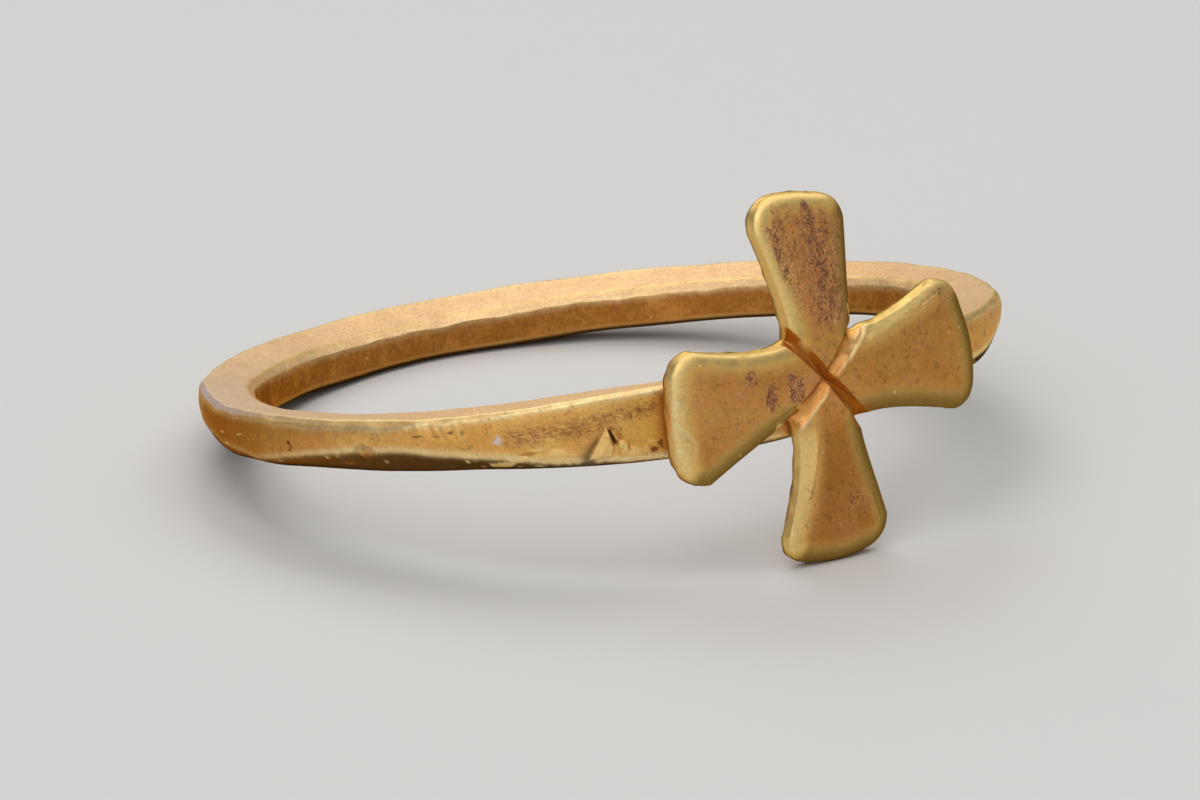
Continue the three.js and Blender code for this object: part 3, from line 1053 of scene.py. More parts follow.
    def rings(self) -> tuple[np.ndarray, np.ndarray]:
        """The grid's rings in the plane, from the back's middle over the edge to the front's middle.

        Returns:
            Points as rings by outline steps by two, and for each ring the share of the plate's wall, from 0
            at the back to 1 at the front.
        """
        outline = self.outline()
        back = self.inset(outline, self.back_chamfer)
        face = self.inset(outline, self.rim_width)
        middle = np.array(self.groove_middle)
        flats, walls = [], []
        for share in np.linspace(0.08, 1.0, self.back_rings):
            flats.append(back * share)
            walls.append(0.0)
        for share in np.linspace(0.1, 0.55, self.wall_rings):
            flats.append(outline)
            walls.append(share)
        for swing in np.linspace(0.0, 1.0, self.rim_rings):
            flats.append(self.inset(outline, self.rim_width * (1 - math.cos(swing * math.pi / 2))))
            walls.append(1.0)
        for share in np.linspace(1.0, 0.0, self.face_rings + 2)[1:-1]:
            flats.append(middle + (face - middle) * share)
            walls.append(1.0)
        return np.stack(flats), np.array(walls)

    def surface(self, seat: float) -> Surface:
        """The whole plate, on rings from the back's middle over its edge to the front's middle.

        Args:
            seat: The plane, by its Y, of the flat that the plate is soldered to.

        Returns:
            The closed surface with its masks.
        """
        outline = self.outline()
        flat, wall = self.rings()
        steps = flat.shape[1]
        edge, nearest = self.edge_distance(flat, outline)
        side_way = self.inset(outline, -1.0) - outline
        front = (wall[:, None] >= 1.0) + np.zeros((1, steps))
        shape = np.concatenate([flat, np.zeros_like(flat[..., :1])], axis=-1)
        reach = np.clip(1.0 - edge / self.rim_width, 0.0, 1.0)
        rim = self.rim_drop * (1.0 - np.sqrt(np.maximum(0.0, 1.0 - reach * reach)))
        cut, shaded_recess, channel, lit_lip = self.grooves(flat)
        bevel = self.filed(flat, edge)
        dished = self.dishing * smoothstep(edge, 0.25, 0.9)
        burr_x, burr_z, burr_size = self.burr
        burr = bump(np.hypot(flat[..., 0] - burr_x, flat[..., 1] - burr_z), burr_size)
        scratch = np.minimum(*(segment(flat, *ends)[0] for ends in zip(self.scratch, self.scratch[1:])))
        fall = np.maximum(rim, bevel)
        beaten = total(self.hammering, shape) + self.grain.at(shape)
        height = self.thickness_at(flat) - fall - cut + dished + beaten
        height += 0.05 * burr - 0.02 * bump(scratch, 0.05)
        side = wall[:, None] * (self.thickness_at(flat) - self.rim_drop)
        depth = np.where(front > 0, height, side)
        ridge = self.wall_ridges.at(shape + wall[:, None, None])
        y = seat + self.back_at(flat) - depth
        y[: self.back_rings] += self.back_waves.at(shape)[: self.back_rings]
        walls_only = ((wall > 0) & (wall < 1))[:, None]
        flat = flat + np.where(walls_only, ridge, 0.0)[..., None] * side_way
        flat = flat + 0.13 * (burr * bump(edge, 0.2))[..., None] * side_way[nearest]
        points = np.stack([flat[..., 0] + self.centre_x, y, flat[..., 1] + self.centre_z], axis=-1)
        middle_depth = seat - (self.thickness - self.groove_depth)
        poles = np.array([
            [self.centre_x, seat, self.centre_z],
            [self.groove_middle[0] + self.centre_x, middle_depth, self.groove_middle[1] + self.centre_z],
        ])
        lit = side_way[nearest] @ np.array(self.light_way)
        masks = self.masks(flat, edge, front, bevel, lit, wall)
        # Painted shade on the cuts' steep walls, painted highlight on their edges.
        masks["shaded_recess"] = shaded_recess * front
        masks["channel"] = channel * front
        masks["worn"] = masks["worn"] * (1 - shaded_recess)
        masks["lit_lip"] = lit_lip * front
        masks["scratch"] = bump(scratch, 0.05) * front
        return Surface(points, masks, None, poles)

    def masks(
        self,
        flat: np.ndarray,
        edge: np.ndarray,
        front: np.ndarray,
        bevel: np.ndarray,
        lit: np.ndarray,
        wall: np.ndarray,
    ) -> dict[str, np.ndarray]:
        """Where the finish changes: worn rims painted as lit where they face up and to the left, rims painted
        in shade where they face away, stained middles with painted shade towards the right and the bottom,
        deposits and side walls painted lit or in shade by the way they face.

        Args:
            flat: Points in the cross's plane.
            edge: Distance from the outline.
            front: 1 on the front.
            bevel: How far the filed bevels fall.
            lit: How far the nearest edge faces up and to the left, from -1 to 1.
            wall: Share of the plate's wall, by ring.

        Returns:
            The masks by name.
        """
        x, z = flat[..., 0], flat[..., 1]
        near_edge = 1.0 - smoothstep(edge, 0.06, 0.45)
        # Painted highlight: the rims that face up and to the left are painted bright, on top of their wear.
        worn = front * near_edge * smoothstep(lit, -0.35, 0.6)
        # Painted shade: the rims that face down and to the right are painted dark olive.
        shaded_rim = front * (1.0 - smoothstep(edge, 0.1, 0.7)) * smoothstep(-lit, -0.25, 0.5)
        stained = front * smoothstep(edge, 0.3, 0.75)
        ragged = self.stain_raggedness.at(np.stack([x, z, 0 * x], axis=-1))
        left_side = np.interp(z, *zip(*self.deposit_edge)) + ragged
        deposit = smoothstep(x, left_side - 0.1, left_side + 0.25) * smoothstep(edge, 0.1, 0.3)
        deposit *= smoothstep(z, 1.2, 1.6) * (1 - smoothstep(z + 2 * ragged, 4.1, 4.6))
        left_column = bump(x + 1.08, 0.16) * smoothstep(z, 2.6, 2.8)
        deposit *= 0.58 + 0.42 * left_column + 0.42 * bump(x - 0.06 - 0.1 * (3.4 - z), 0.3)
        for patch_x, patch_z, wide, tall in self.patches:
            away = np.hypot((x - patch_x) / wide, (z - patch_z) / tall)
            away = away + self.speck_stretch * ragged
            deposit = np.maximum(deposit, 1 - smoothstep(away, 0.75, 1.15))
        for spot_x, spot_z, size in self.faint_patches:
            deposit = np.maximum(deposit, 0.42 * bump(np.hypot(x - spot_x, z - spot_z), size))
        side = ((wall > 0) & (wall < 1))[:, None] + 0.0 * edge
        # Painted highlight on the side walls that face up and to the left; the others get painted shade in
        # olive.
        lit_side = side * smoothstep(lit, -0.1, 0.4) * smoothstep(wall, 0.1, 0.5)[:, None]
        ember = np.maximum(bump(x + 4.75, 0.5) * side, bump(np.hypot(x, z) - 1.2, 0.3) * near_edge)
        return {
            # Filed bevels worn bright, with painted highlight on the lit rims and side walls.
            "worn": np.maximum(np.maximum(worn, 0.9 * lit_side), 0.8 * front * smoothstep(bevel, 0.0, 0.03)),
            "shaded_rim": shaded_rim,
            "shade": stained * (0.2 + 0.12 * smoothstep(x, 0.5, 2.5) + 0.55 * smoothstep(-z, 0.4, 2.2)),
            "stained": stained,
            "deposit": deposit * front,
            # Painted glints along the left arm's left rim.
            "painted_glint": front * bump(x + 4.55, 0.25) * (1 - smoothstep(edge, 0.2, 0.5)),
            # Side walls painted in shade, all but the lit ones.
            "side": side * (1 - lit_side),
            "ember": ember * (1 - 0.8 * lit_side),
            # Painted shade on the plate's back, which faces the hoop.
            "shaded_under": (wall <= 0)[:, None] + 0.0 * edge,
        }


class Nodes:
    """A short way to place shader nodes and join their sockets."""

    def __init__(self, tree: bpy.types.NodeTree) -> None:
        """Keeps the node tree that the nodes go into."""
        self.tree = tree

    def add(self, kind: str, inputs: dict | None = None, **settings: object) -> bpy.types.Node:
        """Adds one node.

        Args:
            kind: The node's type.
            inputs: Values or sockets for its inputs, by name or number.
            settings: Its own properties.

        Returns:
            The new node.
        """
        node = self.tree.nodes.new(kind)
        for name, value in settings.items():
            setattr(node, name, value)
        for key, value in (inputs or {}).items():
            if isinstance(value, bpy.types.NodeSocket):
                self.tree.links.new(value, node.inputs[key])
            else:
                node.inputs[key].default_value = value
        return node

    def noise(
        self, vector: object, scale: object, detail: float = 3.0, roughness: float = 0.55, wound: float = 0.0
    ) -> object:
        """A noise texture's value."""
        inputs = {"Vector": vector, "Scale": scale, "Detail": detail, "Roughness": roughness}
        return self.add("ShaderNodeTexNoise", {**inputs, "Distortion": wound}).outputs["Fac"]

    def between(self, value: object, low: float, high: float, start: float = 0.0, end: float = 1.0) -> object:
        """A value carried from one range to another, held at its ends."""
        inputs = {"Value": value, "From Min": low, "From Max": high, "To Min": start, "To Max": end}
        return self.add("ShaderNodeMapRange", inputs).outputs["Result"]

    def math(self, operation: str, first: object, second: object = 0.0) -> object:
        """One sum, product or other step of arithmetic."""
        return self.add("ShaderNodeMath", {0: first, 1: second}, operation=operation).outputs[0]

    def times(self, *factors: object) -> object:
        """The product of two or more values."""
        product = factors[0]
        for factor in factors[1:]:
            product = self.math("MULTIPLY", product, factor)
        return product

    def plus(self, first: object, second: object) -> object:
        """The sum of two values."""
        return self.math("ADD", first, second)

    def minus(self, first: object, second: object) -> object:
        """The difference of two values."""
        return self.math("SUBTRACT", first, second)

    def near_half(self, value: object, width: float) -> object:
        """1 where a value is one half, falling to 0 at a distance of width, which draws thin lines."""
        return self.between(self.math("ABSOLUTE", self.minus(value, 0.5)), 0.0, width, 1.0, 0.0)

    def cells(self, vector: object, scale: object) -> object:
        """The outputs of a texture of cells."""
        return self.add("ShaderNodeTexVoronoi", {"Vector": vector, "Scale": scale}).outputs

    def group(self, tree: bpy.types.NodeTree, inputs: dict) -> object:
        """Places a shared group with its inputs, and gives its outputs."""
        return self.add("ShaderNodeGroup", inputs, node_tree=tree).outputs

    def mix(self, share: object, first: object, second: object, blend: str = "MIX") -> object:
        """A mix of two colours."""
        inputs = {0: share, 6: first, 7: second}
        return self.add("ShaderNodeMix", inputs, data_type="RGBA", blend_type=blend).outputs[2]

    def stretch(self, vector: object, scale: tuple[float, float, float], turn: float = 0.0) -> object:
        """A vector turned about Z and stretched, for marks that run one way."""
        inputs = {"Vector": vector, "Scale": scale, "Rotation": (0.0, 0.0, turn)}
        return self.add("ShaderNodeMapping", inputs).outputs["Vector"]

    def mask(self, name: str) -> object:
        """A mask that the mesh carries."""
        return self.add("ShaderNodeAttribute", None, attribute_name=name).outputs["Fac"]


def new_group(
    name: str, inputs: dict[str, float], outputs: tuple[str, ...]
) -> tuple[bpy.types.NodeTree, Nodes, object]:
    """Starts a shader node group with named number inputs and outputs, and a vector input.

    Args:
        name: The group's name.
        inputs: Number inputs with their usual values.
        outputs: Names of the number outputs.

    Returns:
        The group, a helper that places nodes in it, and the sockets of its inputs.
    """
    group = bpy.data.node_groups.new(name, "ShaderNodeTree")
    group.interface.new_socket("Vector", in_out="INPUT", socket_type="NodeSocketVector")
    for key, value in inputs.items():
        socket = group.interface.new_socket(key, in_out="INPUT", socket_type="NodeSocketFloat")
        socket.default_value = value
    for key in outputs:
        group.interface.new_socket(key, in_out="OUTPUT", socket_type="NodeSocketFloat")
    nodes = Nodes(group)
    return group, nodes, nodes.add("NodeGroupInput").outputs


def grain_group() -> bpy.types.NodeTree:
    """Fine relief of worn cast gold: two sizes of grain and sparse pinholes, as one height from 0 to 1.

    Returns:
        The node group.
    """
    group, nodes, entry = new_group("gold_grain", {"Size": 0.0001, "Pinholes": 0.3}, ("Height", "Tone"))
    place = entry["Vector"]
    per_metre = nodes.math("DIVIDE", 1.0, entry["Size"])
    coarse = nodes.noise(place, per_metre, 4.0, 0.6)
    wide = nodes.noise(place, nodes.times(per_metre, 0.28), 3.0, 0.5)
    holes = nodes.between(nodes.cells(place, nodes.times(per_metre, 0.5))["Distance"], 0.02, 0.2)
    sunk = nodes.times(nodes.minus(1.0, holes), entry["Pinholes"])
    height = nodes.minus(nodes.plus(nodes.times(coarse, 0.5), wide), sunk)
    nodes.add("NodeGroupOutput", {"Height": height, "Tone": wide})
    return group


def scratch_group() -> bpy.types.NodeTree:
    """Hairline scratches that run three ways, as thin ridges of stretched noise, from 0 to 1.

    Returns:
        The node group.
    """
    group, nodes, entry = new_group("hairline_scratches", {"Amount": 0.5}, ("Height",))
    drawn = 0.0
    ways_and_scales = ((0.25, 500.0, 16000.0), (1.35, 700.0, 19000.0), (-0.7, 400.0, 14000.0))
    for turn, long_scale, fine_scale in ways_and_scales:
        ways = nodes.stretch(entry["Vector"], (long_scale, fine_scale, fine_scale), turn)
        drawn = nodes.math("MAXIMUM", drawn, nodes.near_half(nodes.noise(ways, 1.0, 1.0), 0.018))
    where = nodes.between(nodes.noise(entry["Vector"], 900.0, 2.0), 0.48, 0.68)
    nodes.add("NodeGroupOutput", {"Height": nodes.times(drawn, where, entry["Amount"])})
    return group


def speckle_group() -> bpy.types.NodeTree:
    """Small specks that crowd together where the cover is high, as a mask from 0 to 1.

    Returns:
        The node group.
    """
    group, nodes, entry = new_group("speckled_deposit", {"Cover": 0.5, "Size": 0.0001}, ("Mask",))
    per_metre = nodes.math("DIVIDE", 1.0, entry["Size"])
    fine = nodes.noise(entry["Vector"], per_metre, 4.0, 0.65)
    cloud = nodes.noise(entry["Vector"], nodes.times(per_metre, 0.25), 3.0, 0.6)
    level = nodes.plus(nodes.times(fine, 0.62), nodes.times(cloud, 0.38))
    bar = nodes.minus(0.61, nodes.times(entry["Cover"], 0.14))
    specks = nodes.between(nodes.minus(level, bar), 0.0, 0.05)
    nodes.add("NodeGroupOutput", {"Mask": nodes.times(specks, nodes.between(entry["Cover"], 0.02, 0.2))})
    return group


def mottle_group() -> bpy.types.NodeTree:
    """Tarnish on handled gold: squiggly patches, fine light and dark grain, rare dots and thin veins.

    Returns:
        The node group.
    """
    outputs = ("Patches", "Fine", "Dots", "Veins")
    group, nodes, entry = new_group("mottled_tarnish", {"Size": 0.0003}, outputs)
    place = entry["Vector"]
    per_metre = nodes.math("DIVIDE", 1.0, entry["Size"])
    squiggles = nodes.noise(place, per_metre, 5.0, 0.7, 1.6)
    cloud = nodes.noise(place, nodes.times(per_metre, 0.3), 3.0, 0.6)
    patches = nodes.plus(nodes.times(squiggles, 0.6), nodes.times(cloud, 0.4))
    fine = nodes.noise(place, nodes.times(per_metre, 3.4), 3.0, 0.7)
    cells = nodes.cells(place, nodes.times(per_metre, 0.9))
    chance = nodes.add("ShaderNodeSeparateColor", {0: cells["Color"]}).outputs[0]
    rare = nodes.between(chance, 0.84, 0.88)
    wound = nodes.noise(place, nodes.times(per_metre, 1.3), 2.0, 0.5, 2.0)
    results = {
        "Patches": nodes.between(patches, 0.46, 0.6),
        "Fine": nodes.between(fine, 0.3, 0.7),
        "Dots": nodes.times(rare, nodes.between(cells["Distance"], 0.06, 0.14, 1.0, 0.0)),
        "Veins": nodes.times(nodes.near_half(wound, 0.03), nodes.between(cloud, 0.48, 0.62)),
    }
    nodes.add("NodeGroupOutput", results)
    return group


@dataclass(frozen=True)
class Tints:
    """Linear colours of the worn gold, from the brightest rims to the dark cut walls, some of them painted
    light and shade.
    """

    # Bright metal of worn places, also painted as the highlight on lit rims, side walls and the tear's flap.
    bare: tuple[float, ...] = (1.0, 0.73, 0.29, 1.0)
    gold: tuple[float, ...] = (0.99, 0.64, 0.19, 1.0)
    warm: tuple[float, ...] = (0.86, 0.42, 0.1, 1.0)
    rosy: tuple[float, ...] = (0.93, 0.46, 0.2, 1.0)
    # Painted highlight: the pale tint of the band's top faces, as if lit from above.
    top: tuple[float, ...] = (0.98, 0.68, 0.39, 1.0)
    # Painted reflection: the pale, cooler tint at the band's ends.
    cool_reflection: tuple[float, ...] = (0.95, 0.74, 0.54, 1.0)
    # Brown of the band's inner wall and of the cross's stains, also the painted shade on the band's left end,
    # the cross's lower right and the plate's back.
    wall: tuple[float, ...] = (0.5, 0.2, 0.036, 1.0)
    # Painted shade of the rims and side walls that face away from the light.
    olive: tuple[float, ...] = (0.24, 0.14, 0.03, 1.0)
    # Painted shade of the band's underside and lower bevel.
    shaded_under: tuple[float, ...] = (0.07, 0.03, 0.006, 1.0)
    # Painted glow: orange light reflected between the band and the cross.
    glow: tuple[float, ...] = (0.95, 0.55, 0.1, 1.0)
    channel: tuple[float, ...] = (0.98, 0.5, 0.15, 1.0)
    # Deep orange of the ember marks, also the painted shade on the cuts' steep walls and the painted shadow
    # line by the cross.
    deep: tuple[float, ...] = (0.52, 0.17, 0.018, 1.0)
    deposit: tuple[float, ...] = (0.15, 0.05, 0.045, 1.0)
    rust: tuple[float, ...] = (0.2, 0.03, 0.02, 1.0)
    # Soil of the spots, ruts and crack, and the painted shadow beside the tear's flap.
    soil_and_shadow: tuple[float, ...] = (0.075, 0.03, 0.02, 1.0)
    # Bright specks and edges: worn edges of the band, rare dots, scratches, and the cross's painted glints
    # and highlights.
    dot: tuple[float, ...] = (1.0, 0.8, 0.42, 1.0)
    # Tint of the pale speck, and of the painted lavender reflection at the far left.
    pale: tuple[float, ...] = (0.85, 0.74, 0.76, 1.0)
    russet: tuple[float, ...] = (0.4, 0.14, 0.055, 1.0)


@dataclass
class Coats:
    """A colour that is built up coat by coat, with the helper that places its nodes."""

    nodes: Nodes
    colour: object

    def lay(self, mask: object, tint: tuple[float, ...], share: float = 1.0) -> None:
        """Lays a tint over the colour where a mask says, a socket or the name of a mask of the mesh.

        Args:
            mask: The socket or the name.
            tint: The tint.
            share: How much of it shows at most.
        """
        amount = self.nodes.mask(mask) if isinstance(mask, str) else mask
        if share < 1.0:
            amount = self.nodes.times(amount, share)
        self.colour = self.nodes.mix(amount, self.colour, tint)

    def lay_all(self, coats: tuple[tuple[str, tuple[float, ...], float], ...]) -> None:
        """Lays several tints, each with its mask and share, one over the other."""
        for mask, tint, share in coats:
            self.lay(mask, tint, share)

    def tone(self, fine: object, low: float, high: float) -> None:
        """Darkens and lightens the colour by the fine grain, from low to high.

        Args:
            fine: The grain, from 0 to 1.
            low: Tone where it is 0.
            high: Tone where it is 1.
        """
        tone = self.nodes.between(fine, 0.0, 1.0, low, high)
        grey = self.nodes.add("ShaderNodeCombineColor", {0: tone, 1: tone, 2: tone}).outputs[0]
        self.colour = self.nodes.mix(1.0, self.colour, grey, "MULTIPLY")


@dataclass(frozen=True)
class Wear:
    """How one piece is worn: its grain, pinholes, tarnish and scratches, and its stained gold's roughness.

    The sizes are metres, the scratches' depth is a share of the fine relief, and the roughness runs from a
    lowest to a highest value.
    """

    grain_size: float
    pinholes: float
    tarnish_size: float
    scratches: float
    scratch_depth: float
    stained_roughness: tuple[float, float]


@dataclass(frozen=True)
class GoldFinish:
    """Worn gold for both pieces, with the shared groups of its fine effects.

    The worn gold is smoother than the stained by polish, and the fine relief is as deep as relief, in metres.
    """

    grain: bpy.types.NodeTree
    scratches: bpy.types.NodeTree
    specks: bpy.types.NodeTree
    tarnish: bpy.types.NodeTree
    tints: Tints = Tints()
    polish: float = 0.13
    relief: float = 0.000008
    hoop_wear: Wear = Wear(0.00011, 0.35, 0.00034, 0.35, 0.6, (0.51, 0.63))
    cross_wear: Wear = Wear(0.00009, 0.12, 0.00036, 0.7, 0.5, (0.52, 0.64))

    def start(self, slot: Slot) -> tuple[bpy.types.Material, Nodes, object]:
        """An empty material with a node helper and the object's coordinates.

        Args:
            slot: The record's slot that the material fills.

        Returns:
            The material, the helper and the coordinates.
        """
        material = bpy.data.materials.new(slot.value)
        material.use_nodes = True
        material.node_tree.nodes.clear()
        nodes = Nodes(material.node_tree)
        return material, nodes, nodes.add("ShaderNodeTexCoord").outputs["Object"]

    def finish(
        self, coats: Coats, place: object, ways: object, wear: Wear, worn: object, metallic: object
    ) -> None:
        """Adds the fine relief, the roughness and the shader, and joins them to the material's output.

        Args:
            coats: The finished colour.
            place: Coordinates of the grain.
            ways: Coordinates of the scratches.
            wear: How the piece is worn.
            worn: Mask of the smoother, worn gold.
            metallic: Share of bare metal.
        """
        nodes = coats.nodes
        grained = {"Vector": place, "Size": wear.grain_size, "Pinholes": wear.pinholes}
        grain = nodes.group(self.grain, grained)
        marks = nodes.group(self.scratches, {"Vector": ways, "Amount": wear.scratches})
        rough = nodes.between(grain["Tone"], 0.3, 0.7, *wear.stained_roughness)
        height = nodes.minus(grain["Height"], nodes.times(marks["Height"], wear.scratch_depth))
        relief = nodes.add("ShaderNodeBump", {"Strength": 1.0, "Distance": self.relief, "Height": height})
        inputs = {
            "Base Color": coats.colour,
            "Specular Tint": coats.colour,
            "Metallic": metallic,
            "Roughness": nodes.minus(rough, nodes.times(worn, self.polish)),
            "Normal": relief.outputs[0],
        }
        shader = nodes.add("ShaderNodeBsdfPrincipled", inputs)
        nodes.add("ShaderNodeOutputMaterial", {"Surface": shader.outputs[0]})

    def hoop(self) -> bpy.types.Material:
        """Gold of the band: rosy top painted pale as if lit from above, yellow worn edges, brown grained
        inner wall, streaked outer face, with painted shade below, at the left end and by the cross, and
        painted reflections at the ends.

        Returns:
            The material.
        """
        material, nodes, place = self.start(Slot.HOOP)
        tints = self.tints
        flow = nodes.add("ShaderNodeUVMap", None, uv_map="flow").outputs["UV"]
        tarnish = nodes.group(self.tarnish, {"Vector": place, "Size": self.hoop_wear.tarnish_size})
        drift = nodes.between(nodes.noise(place, 700.0, 4.0, 0.6), 0.35, 0.7)
        coats = Coats(nodes, nodes.mix(drift, tints.gold, tints.warm))
        coats.lay(tarnish["Patches"], tints.rosy, 0.35)
        coats.lay("inner", tints.wall)
        coats.lay(nodes.times(nodes.mask("inner"), tarnish["Patches"]), tints.warm, 0.5)
        # Painted highlight on the top faces, painted reflections at the ends, painted shade below, at the
        # left end and by the cross, and a painted orange glow by the cross.
        coats.lay_all((
            ("upper", tints.top, 1.0),
            ("cool_reflection", tints.cool_reflection, 0.8),
            ("shaded_under", tints.shaded_under, 0.92),
            ("shade", tints.wall, 0.9),
            ("glow", tints.glow, 0.85),
            ("deep", tints.deep, 0.8),
        ))
        uneven = nodes.between(nodes.noise(place, 5200.0, 3.0), 0.35, 0.6, 0.6, 1.0)
        worn = nodes.times(nodes.mask("worn"), uneven)
        coats.lay(worn, tints.dot)
        streaked = nodes.noise(nodes.stretch(flow, (5000.0, 15000.0, 1.0)), 1.0, 5.0, 0.75, 0.6)
        coats.lay(nodes.times(nodes.mask("streak"), nodes.between(streaked, 0.4, 0.62)), tints.russet, 0.95)
        cover = nodes.between(nodes.mask("upper"), 0.0, 1.0, 0.3, 0.05)
        cover = nodes.plus(cover, nodes.times(nodes.mask("streak"), 0.3))
        specks = nodes.group(self.specks, {"Vector": place, "Cover": cover, "Size": 0.0001})
        coats.lay(specks["Mask"], tints.deposit, 0.4)
        coats.tone(tarnish["Fine"], 0.82, 1.12)
        coats.lay(tarnish["Dots"], tints.dot, 0.5)
        coats.lay_all((
            ("ember", tints.deep, 0.6),
            ("bare", tints.bare, 0.9),
            ("rust", tints.rust, 0.9),
            ("pale", tints.pale, 0.9),
            ("soil_and_shadow", tints.soil_and_shadow, 1.0),
        ))
        metallic = nodes.between(nodes.mask("soil_and_shadow"), 0.0, 1.0, 1.0, 0.3)
        self.finish(coats, place, flow, self.hoop_wear, worn, metallic)
        return material

    def cross(self) -> bpy.types.Material:
        """Gold of the cross: pale worn rims painted as lit on the upper left and in shade on the lower right,
        rosy stained middles with dark specks and painted shade, orange cuts with painted shade and
        highlights.

        Returns:
            The material.
        """
        material, nodes, place = self.start(Slot.CROSS)
        tints = self.tints
        tarnish = nodes.group(self.tarnish, {"Vector": place, "Size": self.cross_wear.tarnish_size})
        stained = nodes.mask("stained")
        drift = nodes.between(nodes.noise(place, 600.0, 3.0, 0.6), 0.4, 0.6, 0.6, 1.0)
        coats = Coats(nodes, nodes.mix(nodes.times(stained, drift), tints.gold, tints.warm))
        coats.lay(nodes.times(stained, tarnish["Patches"]), tints.rosy, 0.7)
        brown = nodes.between(nodes.noise(place, 4200.0, 5.0, 0.7, 1.2), 0.54, 0.66)
        coats.lay(nodes.times(stained, brown), tints.wall, 0.4)
        coats.lay("shade", tints.wall)
        coats.lay(nodes.times(stained, tarnish["Veins"]), tints.channel, 0.7)
        # Painted shade on the rims and side walls that face away from the light, on the plate's back and on
        # the cuts' steep walls; painted highlight on the lit rims and side walls.
        coats.lay_all((
            ("shaded_rim", tints.olive, 0.85),
            ("side", tints.olive, 0.8),
            ("worn", tints.bare, 0.9),
            ("ember", tints.deep, 0.8),
            ("shaded_under", tints.wall, 0.5),
            ("channel", tints.channel, 1.0),
            ("shaded_recess", tints.deep, 1.0),
        ))
        cover = nodes.mask("deposit")
        coats.lay(cover, tints.rosy, 0.6)
        wash = nodes.noise(nodes.stretch(place, (9000.0, 9000.0, 1800.0)), 1.0, 4.0, 0.65)
        coats.lay(nodes.times(cover, nodes.between(wash, 0.42, 0.65)), tints.russet, 0.4)
        drawn = nodes.stretch(place, (1.0, 1.0, 0.5))
        specks = nodes.group(self.specks, {"Vector": drawn, "Cover": cover, "Size": 0.00004})
        coats.lay(specks["Mask"], tints.deposit, 0.74)
        thinly = nodes.times(stained, 0.35)
        few = nodes.group(self.specks, {"Vector": place, "Cover": thinly, "Size": 0.00012})
        coats.lay(few["Mask"], tints.deposit, 0.3)
        coats.tone(tarnish["Fine"], 0.88, 1.08)
        # Painted glints on the left arm's left rim.
        coats.lay(nodes.times(nodes.mask("painted_glint"), nodes.between(tarnish["Fine"], 0.45, 0.75)), tints.dot)
        coats.lay(tarnish["Dots"], tints.dot, 0.8)
        coats.lay_all((("scratch", tints.dot, 0.5), ("lit_lip", tints.dot, 0.8)))
        metallic = nodes.between(specks["Mask"], 0.0, 1.0, 1.0, 0.6)
        self.finish(coats, place, place, self.cross_wear, nodes.mask("worn"), metallic)
        return material


@dataclass(frozen=True)
class Camera:
    """The photograph's camera, set in the ring's own frame. Angles in degrees, distance in millimetres."""

    elevation: float = 9.953
    azimuth: float = -31.2
    roll: float = -6.36
    distance: float = 190.0
    pixels_per_mm: float = 37.2
    image_width: float = 1200.0
    centre_right: float = 1.5
    centre_up: float = 38.1
    sensor: float = 36.0

    def axes(self) -> tuple[np.ndarray, np.ndarray, np.ndarray]:
        """The camera's right, up and backward directions in the ring's frame.

        Returns:
            The three unit directions.
        """
        e, a, r = (math.radians(v) for v in (self.elevation, self.azimuth, self.roll))
        back = np.array([math.sin(a) * math.cos(e), -math.cos(a) * math.cos(e), math.sin(e)])
        right = np.array([math.cos(a), math.sin(a), 0.0])
        up = np.cross(back, right)
        return right * math.cos(r) + up * math.sin(r), up * math.cos(r) - right * math.sin(r), back

    def build(self, placement: Placement) -> None:
        """Makes the camera and gives it to the scene.

        Args:
            placement: Where the ring lies.
        """
        right, up, back = self.axes()
        data = bpy.data.cameras.new("camera")
        data.sensor_width = self.sensor
        focal_pixels = self.pixels_per_mm * self.distance
        data.lens = focal_pixels * self.sensor / self.image_width
        data.shift_x = -self.centre_right / self.image_width
        data.shift_y = -self.centre_up / self.image_width
        data.clip_start = 0.01
        data.clip_end = 20.0
        made = bpy.data.objects.new("camera", data)
        turn = np.stack([placement.turn(v) for v in (right, up, back)], axis=-1)
        place = placement.to_row(back * self.distance)
        matrix = Matrix.Translation(Vector(place)) @ Matrix(turn.tolist()).to_4x4()
        made.matrix_world = matrix
        bpy.context.scene.collection.objects.link(made)
        bpy.context.scene.camera = made


@dataclass(frozen=True)
class Softbox:
    """A square studio light: its azimuth and elevation, how far off it stands, its size and its power."""

    name: str
    azimuth: float
    elevation: float
    distance: float
    size: float
    power: float
    tint: tuple[float, float, float] = (1.0, 1.0, 1.0)

    def build(self, target: Vector) -> None:
        """Makes the light and points it at the target.

        Args:
            target: The point that it shines on.
        """
        a, e = math.radians(self.azimuth), math.radians(self.elevation)
        way = Vector((math.sin(a) * math.cos(e), -math.cos(a) * math.cos(e), math.sin(e)))
        data = bpy.data.lights.new(self.name, "AREA")
        data.shape = "SQUARE"
        data.size = self.size
        data.energy = self.power
        data.color = self.tint
        light = bpy.data.objects.new(self.name, data)
        light.location = target + way * self.distance
        light.rotation_euler = way.to_track_quat("Z", "Y").to_euler()
        bpy.context.scene.collection.objects.link(light)


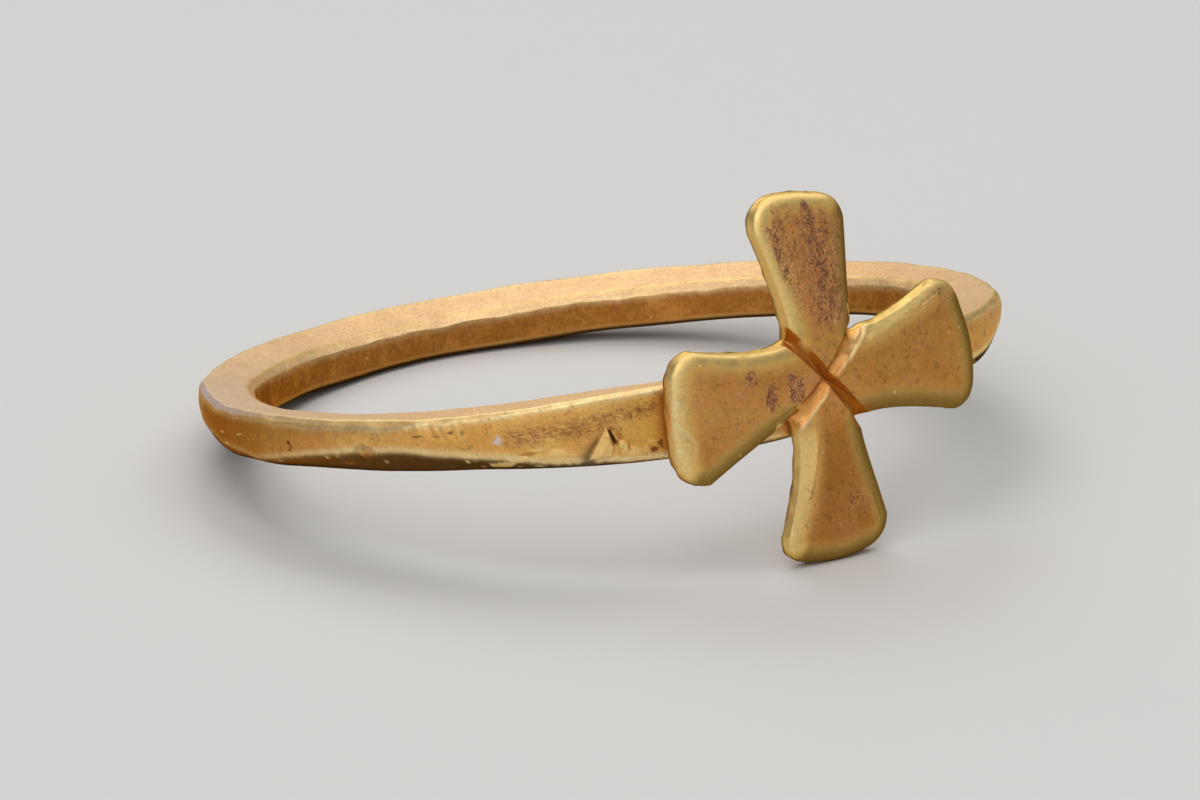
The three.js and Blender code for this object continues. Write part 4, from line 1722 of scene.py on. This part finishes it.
@dataclass(frozen=True)
class Studio:
    """A pale floor, soft lights and an even grey surround. Sizes in metres."""

    floor_size: float = 3.0
    floor_tone: tuple[float, ...] = (0.8, 0.79, 0.77, 1.0)
    surround: tuple[float, ...] = (0.5, 0.5, 0.5, 1.0)
    surround_strength: float = 0.42
    lights: tuple[Softbox, ...] = (
        Softbox("back_light", 165.0, 48.0, 0.55, 0.4, 0.8),
        Softbox("top_light", -55.0, 66.0, 0.5, 0.4, 0.68),
        Softbox("right_light", 80.0, 58.0, 0.5, 0.35, 0.5),
        Softbox("key_light", -62.0, 28.0, 0.5, 0.35, 0.35),
        Softbox("front_light", -28.0, 30.0, 0.6, 0.3, 0.2),
    )

    def build(self) -> None:
        """Makes the floor, the lights and the world."""
        half = self.floor_size / 2
        mesh = bpy.data.meshes.new("floor")
        corners = [(-half, -half, 0), (half, -half, 0), (half, half, 0), (-half, half, 0)]
        mesh.from_pydata(corners, [], [(0, 1, 2, 3)])
        floor = bpy.data.objects.new("floor", mesh)
        bpy.context.scene.collection.objects.link(floor)
        material = bpy.data.materials.new("pale_floor")
        material.use_nodes = True
        shader = material.node_tree.nodes["Principled BSDF"]
        shader.inputs["Base Color"].default_value = self.floor_tone
        shader.inputs["Roughness"].default_value = 0.7
        mesh.materials.append(material)
        target = Vector((0.0, 0.0, 0.003))
        for light in self.lights:
            light.build(target)
        world = bpy.data.worlds.new("surround")
        world.use_nodes = True
        background = world.node_tree.nodes["Background"]
        background.inputs["Color"].default_value = self.surround
        background.inputs["Strength"].default_value = self.surround_strength
        bpy.context.scene.world = world
        bpy.context.scene.view_settings.view_transform = "Standard"


@dataclass
class Ring:
    """The whole ring: its hoop and cross, where it lies and what it is made of."""

    lean: float = 9.83
    hoop: Hoop = field(default_factory=Hoop)
    cross: Cross = field(default_factory=Cross)

    def placement(self) -> Placement:
        """The lean, and the shift that carries the leaned hoop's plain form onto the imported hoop's box.

        The shift centres the hoop across, and brings its back edge and its top to the box's faces.

        Returns:
            The lean and the shift.
        """
        leaning = Placement(math.radians(self.lean), (0.0, 0.0, 0.0))
        angle = np.linspace(-math.pi, math.pi, 720, endpoint=False)
        outer = self.hoop.radius(angle) + self.hoop.facet(angle)
        widest = outer + self.hoop.crown
        edge = outer - self.hoop.outer_top_bevel
        top = self.hoop.top_at(angle)
        middle = (top + self.hoop.underside(angle)) / 2
        sides = leaning.turn(np.stack([widest * np.sin(angle), -widest * np.cos(angle), middle], axis=-1))
        tops = np.stack([edge * np.sin(angle), -edge * np.cos(angle), top], axis=-1)
        behind_seat = tops[:, 1] > self.hoop.seat
        low, high = (np.array(corner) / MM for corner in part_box(Piece.HOOP.value))
        shift_x = (low[0] + high[0]) / 2 - (sides[:, 0].min() + sides[:, 0].max()) / 2
        shift_y = high[1] - sides[:, 1].max()
        shift_z = high[2] - leaning.turn(tops)[behind_seat, 2].max()
        return Placement(leaning.lean, (shift_x, shift_y, shift_z))

    def build(self, placement: Placement) -> None:
        """Makes both pieces, gives them their gold and hands them to the frame.

        Args:
            placement: Where the ring lies.
        """
        gold = GoldFinish(grain_group(), scratch_group(), speckle_group(), mottle_group())
        for piece, slot, surface, finish in (
            (Piece.HOOP, Slot.HOOP, self.hoop.surface(), gold.hoop),
            (Piece.CROSS, Slot.CROSS, self.cross.surface(self.hoop.seat), gold.cross),
        ):
            made = surface.build(f"ring_{piece.value}", placement)
            made.data.materials.append(finish())
            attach(made, "root")
            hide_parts(piece.value)
            LOG.info("%s: %d faces", made.name, len(made.data.polygons))


def main() -> None:
    logging.basicConfig(level=logging.INFO, format="%(name)s: %(message)s")
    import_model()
    ring = Ring()
    placement = ring.placement()
    LOG.info("the ring's frame is shifted by %s mm", [round(v, 4) for v in placement.shift])
    Camera().build(placement)
    Studio().build()
    ring.build(placement)


if __name__ == "__main__":
    main()
